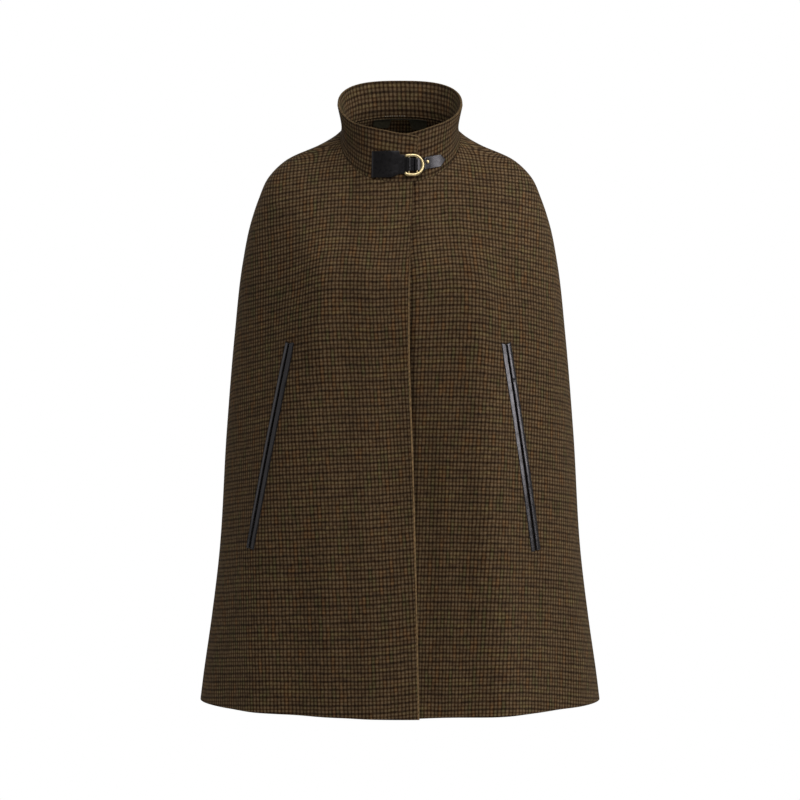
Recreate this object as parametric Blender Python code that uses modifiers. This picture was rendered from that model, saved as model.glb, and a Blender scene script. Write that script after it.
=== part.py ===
"""A check wool cape with a stand collar, bound arm slits and a leather strap fastening."""
import math

import bpy
import numpy as np

# Cloth, leather and metal, metres
CLOTH_WALL = 0.0024
COLLAR_WALL = 0.0036
LEATHER_WALL = 0.0014
LIP_WALL = 0.0026
LIP_PROUD = 0.0008
LABEL_WALL = 0.0006
SEAM_GAP = 0.0003

# Length of the cape down its side, and how near a seam its folds die away
CAPE_LENGTH = 0.84
SEAM_CALM = 0.05

# The upper front and collar end stand this far out over the lower ones
LAYER_STEP = 0.0052
LAYER_START = 0.078
LAYER_FULL = 0.036
UNDER_REACH = 0.030

# Cape sections from the neck seam (share 0) to the hem (share 1). Each is a ring given at its
# side, centre front and centre back: half width and height, depth and height, depth and height,
# then how square its plan is and how its height runs round from side to centre, front and back.
# share, side_x, side_z, front_y, front_z, back_y, back_z, square, bend, back_square, back_bend
CAPE_RINGS = (
    (0.000, 0.0808, 0.0008, 0.0850, -0.0705, 0.0600, 0.0340, 2.30, 0.92, 2.30, 0.92),
    (0.045, 0.1160, -0.0136, 0.0985, -0.0990, 0.0820, 0.0040, 2.15, 1.12, 2.15, 1.12),
    (0.104, 0.1610, -0.0354, 0.1180, -0.1350, 0.1060, -0.0385, 2.06, 1.40, 2.06, 1.40),
    (0.143, 0.1828, -0.0592, 0.1285, -0.1605, 0.1180, -0.0680, 2.12, 1.55, 2.12, 1.55),
    (0.175, 0.1938, -0.0850, 0.1360, -0.1820, 0.1265, -0.0940, 2.16, 1.70, 2.16, 1.70),
    (0.217, 0.2049, -0.1190, 0.1435, -0.2110, 0.1350, -0.1280, 2.20, 1.80, 2.20, 1.80),
    (0.284, 0.2159, -0.1740, 0.1490, -0.2590, 0.1427, -0.1825, 2.24, 1.90, 2.24, 1.90),
    (0.401, 0.2269, -0.2720, 0.1490, -0.3430, 0.1470, -0.2790, 2.24, 2.00, 2.24, 2.00),
    (0.558, 0.2378, -0.4040, 0.1560, -0.4570, 0.1528, -0.4095, 2.18, 2.00, 2.18, 2.00),
    (0.764, 0.2486, -0.5770, 0.1705, -0.6060, 0.1660, -0.5790, 2.08, 2.00, 2.08, 2.00),
    (0.869, 0.2594, -0.6650, 0.1785, -0.6825, 0.1755, -0.6660, 2.00, 2.00, 2.02, 2.00),
    (0.956, 0.2697, -0.7365, 0.1855, -0.7450, 0.1850, -0.7380, 1.92, 2.00, 1.98, 2.00),
    (1.000, 0.2742, -0.7725, 0.1890, -0.7755, 0.1900, -0.7740, 1.88, 2.00, 1.96, 2.00),
)

# Collar sections from the neck seam (share 0) to the top edge (share 1), in the same columns
COLLAR_RINGS = (
    (0.00, 0.0808, 0.0008, 0.0850, -0.0705, 0.0600, 0.0340, 2.30, 0.92, 2.30, 0.92),
    (0.40, 0.0806, 0.0188, 0.0815, -0.0460, 0.0605, 0.0540, 2.20, 1.00, 2.40, 0.85),
    (1.00, 0.0864, 0.0457, 0.0765, -0.0085, 0.0660, 0.0855, 2.05, 1.18, 2.65, 0.76),
)
COLLAR_HEIGHT = 0.055
COLLAR_END_BASE = 0.0195
COLLAR_END_TOP = 0.0248

# How far the collar's top edge stands above its section on the upper and the lower layer. The lift
# dies away down to the neck seam.
# place, lift
UPPER_LIFT = (
    (-0.130, 0.0000),
    (-0.100, 0.0015),
    (-0.077, 0.0026),
    (-0.063, 0.0045),
    (-0.036, 0.0075),
    (-0.017, 0.0073),
    (0.000, 0.0047),
    (0.015, 0.0018),
    (0.027, -0.0031),
)
LOWER_LIFT = (
    (-0.030, 0.0030),
    (0.010, 0.0044),
    (0.024, 0.0062),
    (0.039, 0.0073),
    (0.072, 0.0050),
    (0.093, 0.0025),
    (0.130, 0.0000),
)
LIFT_FADE = 1.3

# The upper front's edge: how far it runs past the centre front
# share, past_centre
FRONT_EDGE = (
    (0.00, 0.0195),
    (0.20, 0.0145),
    (0.35, 0.0145),
    (0.55, 0.0180),
    (0.77, 0.0215),
    (1.00, 0.0245),
)

# Main folds, each a soft ridge (height above 0) or valley (below 0) that runs down a panel.
# It grows between two shares, holds, and dies away between two more. Its place is the distance
# round the cloth from the centre front or the centre back.
# panel, start, full, fade, end, place_top, place_bottom, half_width, height
FOLDS = (
    ("front", 0.26, 0.36, 0.55, 0.90, -0.010, -0.012, 0.030, -0.0040),
    ("right", 0.10, 0.205, 0.205, 0.50, 0.040, 0.040, 0.080, 0.0050),
    ("right", 0.15, 0.200, 0.200, 0.27, 0.040, 0.040, 0.080, 0.0024),
    ("right", 0.10, 0.22, 0.70, 0.95, 0.065, 0.245, 0.045, 0.0100),
    ("right", 0.30, 0.42, 0.60, 0.90, 0.080, 0.118, 0.036, 0.0032),
    ("right", 0.66, 0.95, 1.10, 1.20, 0.120, 0.140, 0.028, -0.0060),
    ("right", 0.60, 0.95, 1.10, 1.20, 0.190, 0.205, 0.026, 0.0050),
    ("left", 0.10, 0.205, 0.205, 0.50, 0.040, 0.040, 0.080, 0.0050),
    ("left", 0.15, 0.200, 0.200, 0.27, 0.040, 0.040, 0.080, 0.0024),
    ("left", 0.12, 0.24, 1.10, 1.20, 0.078, 0.140, 0.036, 0.0085),
    ("left", 0.30, 0.80, 1.10, 1.20, 0.052, 0.060, 0.034, -0.0090),
    ("left", 0.70, 0.95, 1.10, 1.20, 0.215, 0.235, 0.028, -0.0050),
    ("back", 0.25, 0.75, 1.10, 1.20, 0.000, 0.000, 0.034, -0.0090),
    ("back", 0.20, 0.70, 1.10, 1.20, 0.085, 0.105, 0.036, 0.0085),
    ("back", 0.20, 0.70, 1.10, 1.20, -0.085, -0.112, 0.036, 0.0085),
    ("back", 0.45, 0.85, 1.10, 1.20, 0.190, 0.205, 0.032, -0.0060),
    ("back", 0.40, 0.85, 1.10, 1.20, -0.185, -0.198, 0.032, -0.0060),
)

# Arm slits: shares of their two ends, and the distance of their centre line from the centre front
SLIT_TOP = 0.3610
SLIT_BOTTOM = 0.7265
SLIT_WINDOW = 0.0142
SLIT_OPEN = 0.0016
# panel, at_neck, at_top, at_bottom, at_hem
SLIT_LINES = (
    ("right", 0.063, 0.1495, 0.2070, 0.242),
    ("left", 0.062, 0.146, 0.1905, 0.218),
)

# Neck label, below the neck seam on the inside of the back
LABEL_WIDTH = 0.077
LABEL_TOP = 0.004
LABEL_BOTTOM = 0.026

# Strap fastening on the collar: distances from the centre front, and heights
STRAP_Z = -0.0468
BASE_LEFT = -0.0365
BASE_RIGHT = -0.0010
BASE_HALF = 0.0172
BASE_CUT = 0.0095
STRAP_HALF = 0.0131
STRAP_END = 0.0034
STRAP_STEP = 0.0008
LOOP_HALF = 0.0094
BAR_RADIUS = 0.0010
FLAT_LIFT = SEAM_GAP + LEATHER_WALL / 2
BAR_LIFT = SEAM_GAP + LEATHER_WALL + SEAM_GAP + BAR_RADIUS
BASE_LOOP = (-30.0, 190.0)
TAIL_LOOP = (-190.0, 70.0)
BASE_BAR = 0.0110
TAIL_BAR = 0.0213
TAIL_DROP = ((0.0031, 0.0003), (0.0054, -0.0018))
TAIL_UNDER_ARC = 0.0305
TAIL_SHOULDER = 0.0605
TAIL_TIP = 0.0700
TAIL_HALF = 0.0084
TAIL_RISE = 0.0092
TAIL_TIP_HALF = 0.0006
RING_RADIUS = 0.0016
RING_LEFT = 0.0080
RING_RIGHT = 0.0290
RING_HALF = 0.0136
RING_REACH = 0.0125
RING_END_STEP = 0.0020
RING_END_HALVES = (0.0117, 0.0132)
STUD_PLACE = 0.0380
STUD_RISE = 0.0013
STUD_RADIUS = 0.0023
STUD_TOP_RADIUS = 0.0014
STUD_HEIGHT = 0.0014
STUD_SHOULDER = 0.6

# Mesh steps
RING_STEPS = 721
ROW_BANDS = ((0.0, 0.22, 15), (0.22, SLIT_TOP, 4), (SLIT_TOP, SLIT_BOTTOM, 12), (SLIT_BOTTOM, 1.0, 9))
FRONT_COLUMNS = 11
SIDE_COLUMNS = 6
BACK_COLUMNS = 24
COLLAR_COLUMNS = 48
COLLAR_ROWS = 5
COLLAR_LOOKS = 21
STRAP_ROWS = 4
BASE_STEPS = 6
TAIL_STEPS = 6
LOOP_STEPS = 9
LABEL_ROWS = 3
LABEL_COLUMNS = 8
ARC_STEPS = 21
TUBE_SIDES = 10
STUD_SIDES = 16

# Step used to find a face's direction, in metres round the cloth and in share down it
PROBE = 0.002


def ease(value):
    """Smooth step from 0 to 1."""
    value = np.clip(value, 0.0, 1.0)
    return value * value * (3.0 - 2.0 * value)


def section(table, share):
    """One row of a section table at a share between its rows, along smooth curves."""
    rows = np.array(table)
    at = rows[:, 0]
    slopes = np.gradient(rows[:, 1:], at, axis=0)
    i = int(np.clip(np.searchsorted(at, share) - 1, 0, len(at) - 2))
    step = at[i + 1] - at[i]
    t = (share - at[i]) / step
    near = (1 + 2 * t) * (1 - t) ** 2 * rows[i, 1:] + t * (1 - t) ** 2 * step * slopes[i]
    far = t * t * (3 - 2 * t) * rows[i + 1, 1:] + t * t * (t - 1) * step * slopes[i + 1]
    return near + far


def half_ring(row):
    """Points, outward directions in plan and distances of a half ring, centre front to centre back."""
    side_x, side_z, front_y, front_z, back_y, back_z, square, bend, back_square, back_bend = row
    angle = np.linspace(0.0, math.pi, RING_STEPS)
    cos = np.cos(angle)
    reach = np.abs(cos)
    front = cos > 0
    power = np.where(front, 2 / square, 2 / back_square)
    x = side_x * np.abs(np.sin(angle)) ** power
    y = np.where(front, -front_y, back_y) * reach ** power
    rise = np.where(front, front_z - side_z, back_z - side_z)
    z = side_z + rise * reach ** np.where(front, bend, back_bend)
    points = np.stack([x, y, z], axis=1)
    run = np.concatenate([[0.0], np.cumsum(np.linalg.norm(np.diff(points, axis=0), axis=1))])
    along = np.gradient(points[:, :2], axis=0)
    along /= np.linalg.norm(along, axis=1)[:, None]
    return points, np.stack([along[:, 1], -along[:, 0]], axis=1), run


def on_ring(ring, place):
    """Points and outward directions at signed distances from the centre front, right side below 0."""
    points, outward, run = ring
    place = (place + run[-1]) % (2 * run[-1]) - run[-1]
    reach = np.abs(place)
    sign = np.where(place < 0, -1.0, 1.0)
    spot = np.stack([np.interp(reach, run, points[:, k]) for k in range(3)], axis=1)
    out = np.stack([np.interp(reach, run, outward[:, k]) for k in range(2)], axis=1)
    out /= np.linalg.norm(out, axis=1)[:, None]
    spot[:, 0] *= sign
    out[:, 0] *= sign
    return spot, np.concatenate([out, np.zeros((len(out), 1))], axis=1)


def layer(place):
    """How far the upper front and collar end stand out at a signed distance from the centre front."""
    return LAYER_STEP * ease((place + LAYER_START) / (LAYER_START - LAYER_FULL))


def fold_height(panel, share, place):
    """Sum of the folds of a panel at distances round the cloth."""
    total = np.zeros(len(place))
    for name, start, full, fade, end, top, bottom, width, height in FOLDS:
        if name != panel and not (name == "front" and panel in ("left", "right")):
            continue
        strength = ease((share - start) / (full - start)) * (1 - ease((share - fade) / (end - fade)))
        side = -1.0 if panel == "right" and name != "front" else 1.0
        centre = side * (top + (bottom - top) * share)
        total += height * strength * np.exp(-(((place - centre) / width) ** 2))
    return total


def side_run(share):
    """Distance from the centre front to the side seam."""
    return half_ring(section(CAPE_RINGS, share))[2][RING_STEPS // 2]


def cape_row(panel, share, place):
    """Outer points of one panel at a share down the cape and signed distances round it."""
    ring = half_ring(section(CAPE_RINGS, share))
    half = ring[2][-1]
    spot, outward = on_ring(ring, place)
    if panel == "back":
        push = fold_height(panel, share, place % (2 * half) - half)
    else:
        push = fold_height(panel, share, place)
    if panel == "right":
        push = push + layer(place)
    to_seam = np.abs(np.abs((place + half) % (2 * half) - half) - side_run(share))
    return spot + outward * (push * ease(to_seam / SEAM_CALM))[:, None]


def cape_normals(panel, share, place):
    """Outward directions of a panel's face, alike on both sides of a seam."""
    across = cape_row(panel, share, place + PROBE) - cape_row(panel, share, place - PROBE)
    low = min(share + PROBE, 1.0)
    high = max(share - PROBE, 0.0)
    down = cape_row(panel, low, place) - cape_row(panel, high, place)
    normal = np.cross(down, across)
    return normal / np.linalg.norm(normal, axis=1)[:, None]


def mesh_object(name, points, faces, material, collection):
    mesh = bpy.data.meshes.new(name)
    mesh.from_pydata([tuple(p) for p in points], [], faces)
    mesh.materials.append(material)
    item = bpy.data.objects.new(name, mesh)
    collection.objects.link(item)
    return item


def grid_faces(rows, columns, flip, holes=()):
    """Quads of a grid, with the (row, column) cells in holes left out."""
    faces = []
    for r in range(rows):
        for c in range(columns):
            if (r, c) in holes:
                continue
            a = r * (columns + 1) + c
            b = a + columns + 1
            faces.append((a, a + 1, b + 1, b) if flip else (a, b, b + 1, a + 1))
    return faces


def sheet(name, grid, wall, material, collection, offset=-1.0):
    """A grid of points as a solid sheet, its wall inside the points."""
    rows, columns = len(grid) - 1, len(grid[0]) - 1
    points = [p for row in grid for p in row]
    item = mesh_object(name, points, grid_faces(rows, columns, False), material, collection)
    solid = item.modifiers.new("wall", "SOLIDIFY")
    solid.thickness = wall
    solid.offset = offset
    solid.use_even_offset = True
    return item


def walled(name, outer, inner, material, collection, flip=False, holes=()):
    """A closed wall between an outer and an inner grid of points, open at the cells in holes."""
    rows, columns = len(outer) - 1, len(outer[0]) - 1
    points = [p for row in outer for p in row] + [p for row in inner for p in row]
    face = grid_faces(rows, columns, flip, holes)
    under = (rows + 1) * (columns + 1)
    faces = face + [tuple(v + under for v in reversed(f)) for f in face]
    ways = {(f[k - 1], f[k]) for f in face for k in range(4)}
    faces += [(b, a, a + under, b + under) for a, b in sorted(ways) if (b, a) not in ways]
    return mesh_object(name, points, faces, material, collection)


def row_shares():
    shares = [0.0]
    for start, end, steps in ROW_BANDS:
        shares += list(np.linspace(start, end, steps + 1)[1:])
    return shares


def slit_place(panel, share):
    """Distance of the slit's centre line from the centre front."""
    line = next(row for row in SLIT_LINES if row[0] == panel)
    return float(np.interp(share, (0.0, SLIT_TOP, SLIT_BOTTOM, 1.0), line[1:]))


def front_panel(panel, material, collection):
    side = -1.0 if panel == "right" else 1.0
    shares = row_shares()
    edge = np.array(FRONT_EDGE)
    outer = []
    inner = []
    for share in shares:
        past = float(np.interp(share, edge[:, 0], edge[:, 1])) if panel == "right" else UNDER_REACH
        middle = slit_place(panel, share)
        to_slit = np.linspace(-past, middle - SLIT_WINDOW / 2, FRONT_COLUMNS + 1)
        to_side = np.linspace(middle + SLIT_WINDOW / 2, side_run(share) - SEAM_GAP / 2, SIDE_COLUMNS + 1)
        place = side * np.concatenate([to_slit, to_side])
        outer.append(cape_row(panel, share, place))
        inner.append(outer[-1] - CLOTH_WALL * cape_normals(panel, share, place))
    slit = [r for r, share in enumerate(shares[:-1]) if SLIT_TOP <= share + PROBE < SLIT_BOTTOM]
    holes = {(r, FRONT_COLUMNS) for r in slit}
    return walled(panel + "_front", outer, inner, material, collection, side < 0, holes)


def back_panel(material, collection):
    outer = []
    inner = []
    for share in row_shares():
        whole = 2 * half_ring(section(CAPE_RINGS, share))[2][-1]
        seam = side_run(share) + SEAM_GAP / 2
        place = np.linspace(seam, whole - seam, BACK_COLUMNS + 1)
        outer.append(cape_row("back", share, place))
        inner.append(outer[-1] - CLOTH_WALL * cape_normals("back", share, place))
    return walled("back", outer, inner, material, collection)


def slit_lip(panel, which, material, collection):
    """One leather lip of an arm slit, between the window's edge and the slit."""
    side = -1.0 if panel == "right" else 1.0
    end_gap = SEAM_GAP / CAPE_LENGTH
    shares = [s for s in row_shares() if SLIT_TOP + PROBE < s < SLIT_BOTTOM - PROBE]
    shares = [SLIT_TOP + end_gap, *shares, SLIT_BOTTOM - end_gap]
    near = SLIT_OPEN / 2
    far = SLIT_WINDOW / 2 - SEAM_GAP
    reach = (-far, -near) if which == "inner" else (near, far)
    outer = []
    inner = []
    for share in shares:
        place = side * (slit_place(panel, share) + np.linspace(reach[0], reach[1], 3))
        normal = cape_normals(panel, share, place)
        outer.append(cape_row(panel, share, place) + LIP_PROUD * normal)
        inner.append(outer[-1] - LIP_WALL * normal)
    return walled(f"slit_{panel}_{which}", outer, inner, material, collection, side < 0)


def collar_ring(share):
    return half_ring(section(COLLAR_RINGS, share))


def collar_lift(place, share, upper):
    """How far the collar stands above its section at distances from the centre front."""
    high, low = np.array(UPPER_LIFT), np.array(LOWER_LIFT)
    lift = np.where(upper, np.interp(place, high[:, 0], high[:, 1]), np.interp(place, low[:, 0], low[:, 1]))
    return lift * share ** LIFT_FADE


def collar(material, collection):
    """One band from the lower end, round the neck, to the upper end that lies over it."""
    grid = []
    start = SEAM_GAP / COLLAR_HEIGHT
    for k in range(COLLAR_ROWS, -1, -1):
        share = start + (1 - start) * k / COLLAR_ROWS
        ring = collar_ring(share)
        whole = 2 * ring[2][-1]
        end = COLLAR_END_BASE + (COLLAR_END_TOP - COLLAR_END_BASE) * share
        run = np.linspace(-UNDER_REACH, whole + end, COLLAR_COLUMNS + 1)
        upper = run > whole / 2
        place = np.where(upper, run - whole, run)
        spot, outward = on_ring(ring, place)
        spot[:, 2] += collar_lift(place, share, upper)
        grid.append(spot + outward * np.where(upper, layer(place), 0.0)[:, None])
    return sheet("collar", grid, COLLAR_WALL, material, collection)


def neck_label(material, collection):
    outer = []
    inner = []
    for share in np.linspace(LABEL_TOP, LABEL_BOTTOM, LABEL_ROWS + 1) / CAPE_LENGTH:
        middle = half_ring(section(CAPE_RINGS, share))[2][-1]
        place = middle + np.linspace(-LABEL_WIDTH / 2, LABEL_WIDTH / 2, LABEL_COLUMNS + 1)
        normal = cape_normals("back", share, place)
        outer.append(cape_row("back", share, place) - (CLOTH_WALL + SEAM_GAP) * normal)
        inner.append(outer[-1] - LABEL_WALL * normal)
    return walled("neck_label", outer, inner, material, collection)


def on_collar(place, height, out):
    """A point on the upper collar layer's face at a distance from the centre front, a height and a lift."""
    spots = []
    outs = []
    for share in np.linspace(0.0, 1.0, COLLAR_LOOKS):
        spot, outward = on_ring(collar_ring(share), np.array([place]))
        spot[:, 2] += collar_lift(place, share, place < COLLAR_END_TOP)
        spots.append(spot[0] + outward[0] * LAYER_STEP)
        outs.append(outward[0])
    spots = np.array(spots)
    point = np.array([np.interp(height, spots[:, 2], spots[:, k]) for k in range(3)])
    outward = np.array([np.interp(height, spots[:, 2], np.array(outs)[:, k]) for k in range(3)])
    return point + outward * out


def strap_sheet(name, path, widths, material, collection):
    """A leather strip along (place, lift) steps, each with a low and a high edge."""
    grid = []
    for k in range(STRAP_ROWS, -1, -1):
        line = []
        for (place, lift), (low, high) in zip(path, widths):
            line.append(on_collar(place, low + (high - low) * k / STRAP_ROWS, lift))
        grid.append(line)
    return sheet(name, grid, LEATHER_WALL, material, collection, offset=0.0)


def loop_path(centre, first, last):
    """Steps round a crossbar, angles in degrees from its outermost line."""
    reach = BAR_RADIUS + SEAM_GAP + LEATHER_WALL / 2
    path = []
    for angle in np.radians(np.linspace(first, last, LOOP_STEPS)):
        path.append((centre + reach * math.sin(angle), BAR_LIFT + reach * math.cos(angle)))
    return path


def strap_base(material, collection):
    path = []
    widths = []
    for place in np.linspace(BASE_LEFT, BASE_RIGHT - BASE_CUT, BASE_STEPS):
        path.append((place, FLAT_LIFT))
        widths.append((STRAP_Z - BASE_HALF, STRAP_Z + BASE_HALF))
    for place in (BASE_RIGHT - BASE_CUT / 2, BASE_RIGHT):
        cut = (place - BASE_RIGHT + BASE_CUT) / BASE_CUT
        low = STRAP_Z - BASE_HALF + cut * (BASE_HALF - STRAP_HALF)
        path.append((place, FLAT_LIFT))
        widths.append((low, STRAP_Z + BASE_HALF))
    for place, half in ((BASE_RIGHT + STRAP_STEP, STRAP_HALF), (STRAP_END, STRAP_HALF),
                        (STRAP_END + STRAP_STEP, LOOP_HALF)):
        path.append((place, FLAT_LIFT))
        widths.append((STRAP_Z - half, STRAP_Z + half))
    wrap = loop_path(BASE_BAR, *BASE_LOOP)
    path += wrap
    widths += [(STRAP_Z - LOOP_HALF, STRAP_Z + LOOP_HALF)] * len(wrap)
    return strap_sheet("strap_base", path, widths, material, collection)


def strap_tail(material, collection):
    wrap = loop_path(TAIL_BAR, *TAIL_LOOP)
    wrap += [(TAIL_BAR + place, lift) for place, lift in TAIL_DROP]
    centres = [STRAP_Z] * len(wrap)
    halves = [TAIL_HALF] * len(wrap)
    under = FLAT_LIFT - LAYER_STEP
    places = list(np.linspace(TAIL_UNDER_ARC, TAIL_SHOULDER, TAIL_STEPS)) + [TAIL_TIP]
    for place in places:
        share = (place - TAIL_BAR) / (TAIL_TIP - TAIL_BAR)
        wrap.append((place, under))
        centres.append(STRAP_Z + TAIL_RISE * share)
        halves.append(TAIL_TIP_HALF if place == TAIL_TIP else TAIL_HALF)
    widths = [(c - h, c + h) for c, h in zip(centres, halves)]
    return strap_sheet("strap_tail", wrap, widths, material, collection)


def tube(path, radius, sides):
    """Points and faces of a round bar along a path, with flat ends."""
    path = np.array(path)
    along = np.gradient(path, axis=0)
    along /= np.linalg.norm(along, axis=1)[:, None]
    points = []
    across = np.cross(along[0], (0.0, 1.0, 0.0))
    for spot, way in zip(path, along):
        across = across - way * np.dot(across, way)
        across /= np.linalg.norm(across)
        other = np.cross(way, across)
        for angle in np.linspace(0.0, 2 * math.pi, sides, endpoint=False):
            points.append(spot + radius * (math.cos(angle) * across + math.sin(angle) * other))
    faces = []
    for k in range(len(path) - 1):
        for s in range(sides):
            a, b = k * sides + s, k * sides + (s + 1) % sides
            faces.append((a, b, b + sides, a + sides))
    faces.append(tuple(range(sides - 1, -1, -1)))
    last = (len(path) - 1) * sides
    faces.append(tuple(range(last, last + sides)))
    return points, faces


def d_ring(material, collection, cutters):
    """A D-shaped bar, open at its straight side, with the two crossbars that hold the straps."""
    centre = RING_RIGHT - RING_REACH
    start = [(RING_LEFT, -RING_END_HALVES[0]), (RING_LEFT + RING_END_STEP, -RING_END_HALVES[1])]
    path = list(start)
    for angle in np.radians(np.linspace(-90.0, 90.0, ARC_STEPS)):
        path.append((centre + RING_REACH * math.cos(angle), RING_HALF * math.sin(angle)))
    path += [(place, -height) for place, height in reversed(start)]
    spots = [on_collar(place, STRAP_Z + height, BAR_LIFT) for place, height in path]
    points, faces = tube(spots, RING_RADIUS, TUBE_SIDES)
    ring = mesh_object("d_ring", points, faces, material, collection)
    for name, place in (("base_bar", BASE_BAR), ("tail_bar", TAIL_BAR)):
        along = max(0.0, place - centre) / RING_REACH
        half = RING_HALF * math.sqrt(1 - along ** 2)
        spots = [on_collar(place, STRAP_Z + height, BAR_LIFT) for height in np.linspace(-half, half, 4)]
        points, faces = tube(spots, BAR_RADIUS, TUBE_SIDES)
        bar = mesh_object(name, points, faces, material, cutters)
        bar.hide_render = True
        bar.display_type = "WIRE"
        join = ring.modifiers.new(name, "BOOLEAN")
        join.operation = "UNION"
        join.solver = "EXACT"
        join.object = bar
    return ring


def stud(material, collection):
    """A low round head standing on the strap's tail."""
    share = (STUD_PLACE - TAIL_BAR) / (TAIL_TIP - TAIL_BAR)
    height = STRAP_Z + TAIL_RISE * share + STUD_RISE
    foot = FLAT_LIFT - LAYER_STEP + LEATHER_WALL / 2 + SEAM_GAP
    start = on_collar(STUD_PLACE, height, foot)
    way = on_collar(STUD_PLACE, height, foot + STUD_HEIGHT) - start
    points, faces = tube([start, start + way * STUD_SHOULDER, start + way], STUD_RADIUS, STUD_SIDES)
    top = start + way
    shrink = STUD_TOP_RADIUS / STUD_RADIUS
    points[-STUD_SIDES:] = [top + (p - top) * shrink for p in points[-STUD_SIDES:]]
    return mesh_object("stud", points, faces, material, collection)


def new_material(name, colour, roughness, metallic):
    material = bpy.data.materials.new(name)
    material.use_nodes = True
    shader = next(n for n in material.node_tree.nodes if n.type == "BSDF_PRINCIPLED")
    shader.inputs["Base Color"].default_value = (*colour, 1.0)
    shader.inputs["Roughness"].default_value = roughness
    shader.inputs["Metallic"].default_value = metallic
    material.diffuse_color = (*colour, 1.0)
    return material


def new_collection(name):
    collection = bpy.data.collections.new(name)
    bpy.context.scene.collection.children.link(collection)
    return collection


def main():
    for item in list(bpy.data.objects):
        bpy.data.objects.remove(item, do_unlink=True)
    parts = new_collection("cape")
    cutters = new_collection("joined_bars")
    cloth = {}
    for name, colour in (
        ("right_front", (0.072, 0.049, 0.024)),
        ("left_front", (0.076, 0.052, 0.026)),
        ("back", (0.070, 0.048, 0.024)),
        ("collar", (0.066, 0.045, 0.022)),
    ):
        cloth[name] = new_material("wool_" + name, colour, 0.9, 0.0)
    front_panel("right", cloth["right_front"], parts)
    front_panel("left", cloth["left_front"], parts)
    back_panel(cloth["back"], parts)
    collar(cloth["collar"], parts)
    for panel in ("right", "left"):
        for which in ("inner", "outer"):
            leather = new_material(f"leather_slit_{panel}_{which}", (0.012, 0.012, 0.013), 0.35, 0.0)
            slit_lip(panel, which, leather, parts)
    strap_base(new_material("leather_base", (0.014, 0.013, 0.013), 0.32, 0.0), parts)
    strap_tail(new_material("leather_tail", (0.015, 0.014, 0.014), 0.32, 0.0), parts)
    d_ring(new_material("brass_ring", (0.78, 0.58, 0.22), 0.2, 1.0), parts, cutters)
    stud(new_material("brass_stud", (0.78, 0.58, 0.22), 0.2, 1.0), parts)
    neck_label(new_material("satin_label", (0.020, 0.018, 0.013), 0.5, 0.0), parts)


main()
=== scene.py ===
"""Looks of a check wool cape with a stand collar, bound arm slits and a leather strap fastening."""
import math

import bpy
import numpy as np
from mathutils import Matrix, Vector


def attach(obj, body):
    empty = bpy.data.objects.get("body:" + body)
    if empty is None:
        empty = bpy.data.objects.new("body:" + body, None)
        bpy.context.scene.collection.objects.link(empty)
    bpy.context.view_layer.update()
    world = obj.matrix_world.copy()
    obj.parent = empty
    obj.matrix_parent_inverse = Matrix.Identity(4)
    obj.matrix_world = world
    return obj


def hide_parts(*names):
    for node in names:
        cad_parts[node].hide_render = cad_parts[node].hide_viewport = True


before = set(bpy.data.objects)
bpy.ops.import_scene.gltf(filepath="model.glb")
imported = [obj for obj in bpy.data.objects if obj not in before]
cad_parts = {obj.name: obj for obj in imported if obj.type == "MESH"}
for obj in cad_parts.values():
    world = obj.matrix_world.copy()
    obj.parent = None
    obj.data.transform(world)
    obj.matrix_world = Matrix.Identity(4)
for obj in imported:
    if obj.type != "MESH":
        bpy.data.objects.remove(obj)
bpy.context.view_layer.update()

# Walls of cloth and leather, the gap between sewn pieces and the cape's length, metres
CLOTH_WALL = 0.0024
COLLAR_WALL = 0.0036
LEATHER_WALL = 0.0014
SEAM_GAP = 0.0003
CAPE_LENGTH = 0.84

# Which way each front runs from the centre front
SIDES = {"right": -1.0, "left": 1.0}

# Folds fade out within this distance of a side seam
SEAM_CALM = 0.05

# How far the upper front and collar end stand out, where that starts and is full before the centre front,
# and how far the lower ones run on below
LAYER_STEP = 0.0052
LAYER_START = 0.078
LAYER_FULL = 0.036
UNDER_REACH = 0.030

# Cape sections from the neck seam to the hem, as in the solids
# share, side_x, side_z, front_y, front_z, back_y, back_z, square, bend, back_square, back_bend
CAPE_RINGS = (
    (0.000, 0.0808, 0.0008, 0.0850, -0.0705, 0.0600, 0.0340, 2.30, 0.92, 2.30, 0.92),
    (0.045, 0.1160, -0.0136, 0.0985, -0.0990, 0.0820, 0.0040, 2.15, 1.12, 2.15, 1.12),
    (0.104, 0.1610, -0.0354, 0.1180, -0.1350, 0.1060, -0.0385, 2.06, 1.40, 2.06, 1.40),
    (0.143, 0.1828, -0.0592, 0.1285, -0.1605, 0.1180, -0.0680, 2.12, 1.55, 2.12, 1.55),
    (0.175, 0.1938, -0.0850, 0.1360, -0.1820, 0.1265, -0.0940, 2.16, 1.70, 2.16, 1.70),
    (0.217, 0.2049, -0.1190, 0.1435, -0.2110, 0.1350, -0.1280, 2.20, 1.80, 2.20, 1.80),
    (0.284, 0.2159, -0.1740, 0.1490, -0.2590, 0.1427, -0.1825, 2.24, 1.90, 2.24, 1.90),
    (0.401, 0.2269, -0.2720, 0.1490, -0.3430, 0.1470, -0.2790, 2.24, 2.00, 2.24, 2.00),
    (0.558, 0.2378, -0.4040, 0.1560, -0.4570, 0.1528, -0.4095, 2.18, 2.00, 2.18, 2.00),
    (0.764, 0.2486, -0.5770, 0.1705, -0.6060, 0.1660, -0.5790, 2.08, 2.00, 2.08, 2.00),
    (0.869, 0.2594, -0.6650, 0.1785, -0.6825, 0.1755, -0.6660, 2.00, 2.00, 2.02, 2.00),
    (0.956, 0.2697, -0.7365, 0.1855, -0.7450, 0.1850, -0.7380, 1.92, 2.00, 1.98, 2.00),
    (1.000, 0.2742, -0.7725, 0.1890, -0.7755, 0.1900, -0.7740, 1.88, 2.00, 1.96, 2.00),
)
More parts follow.
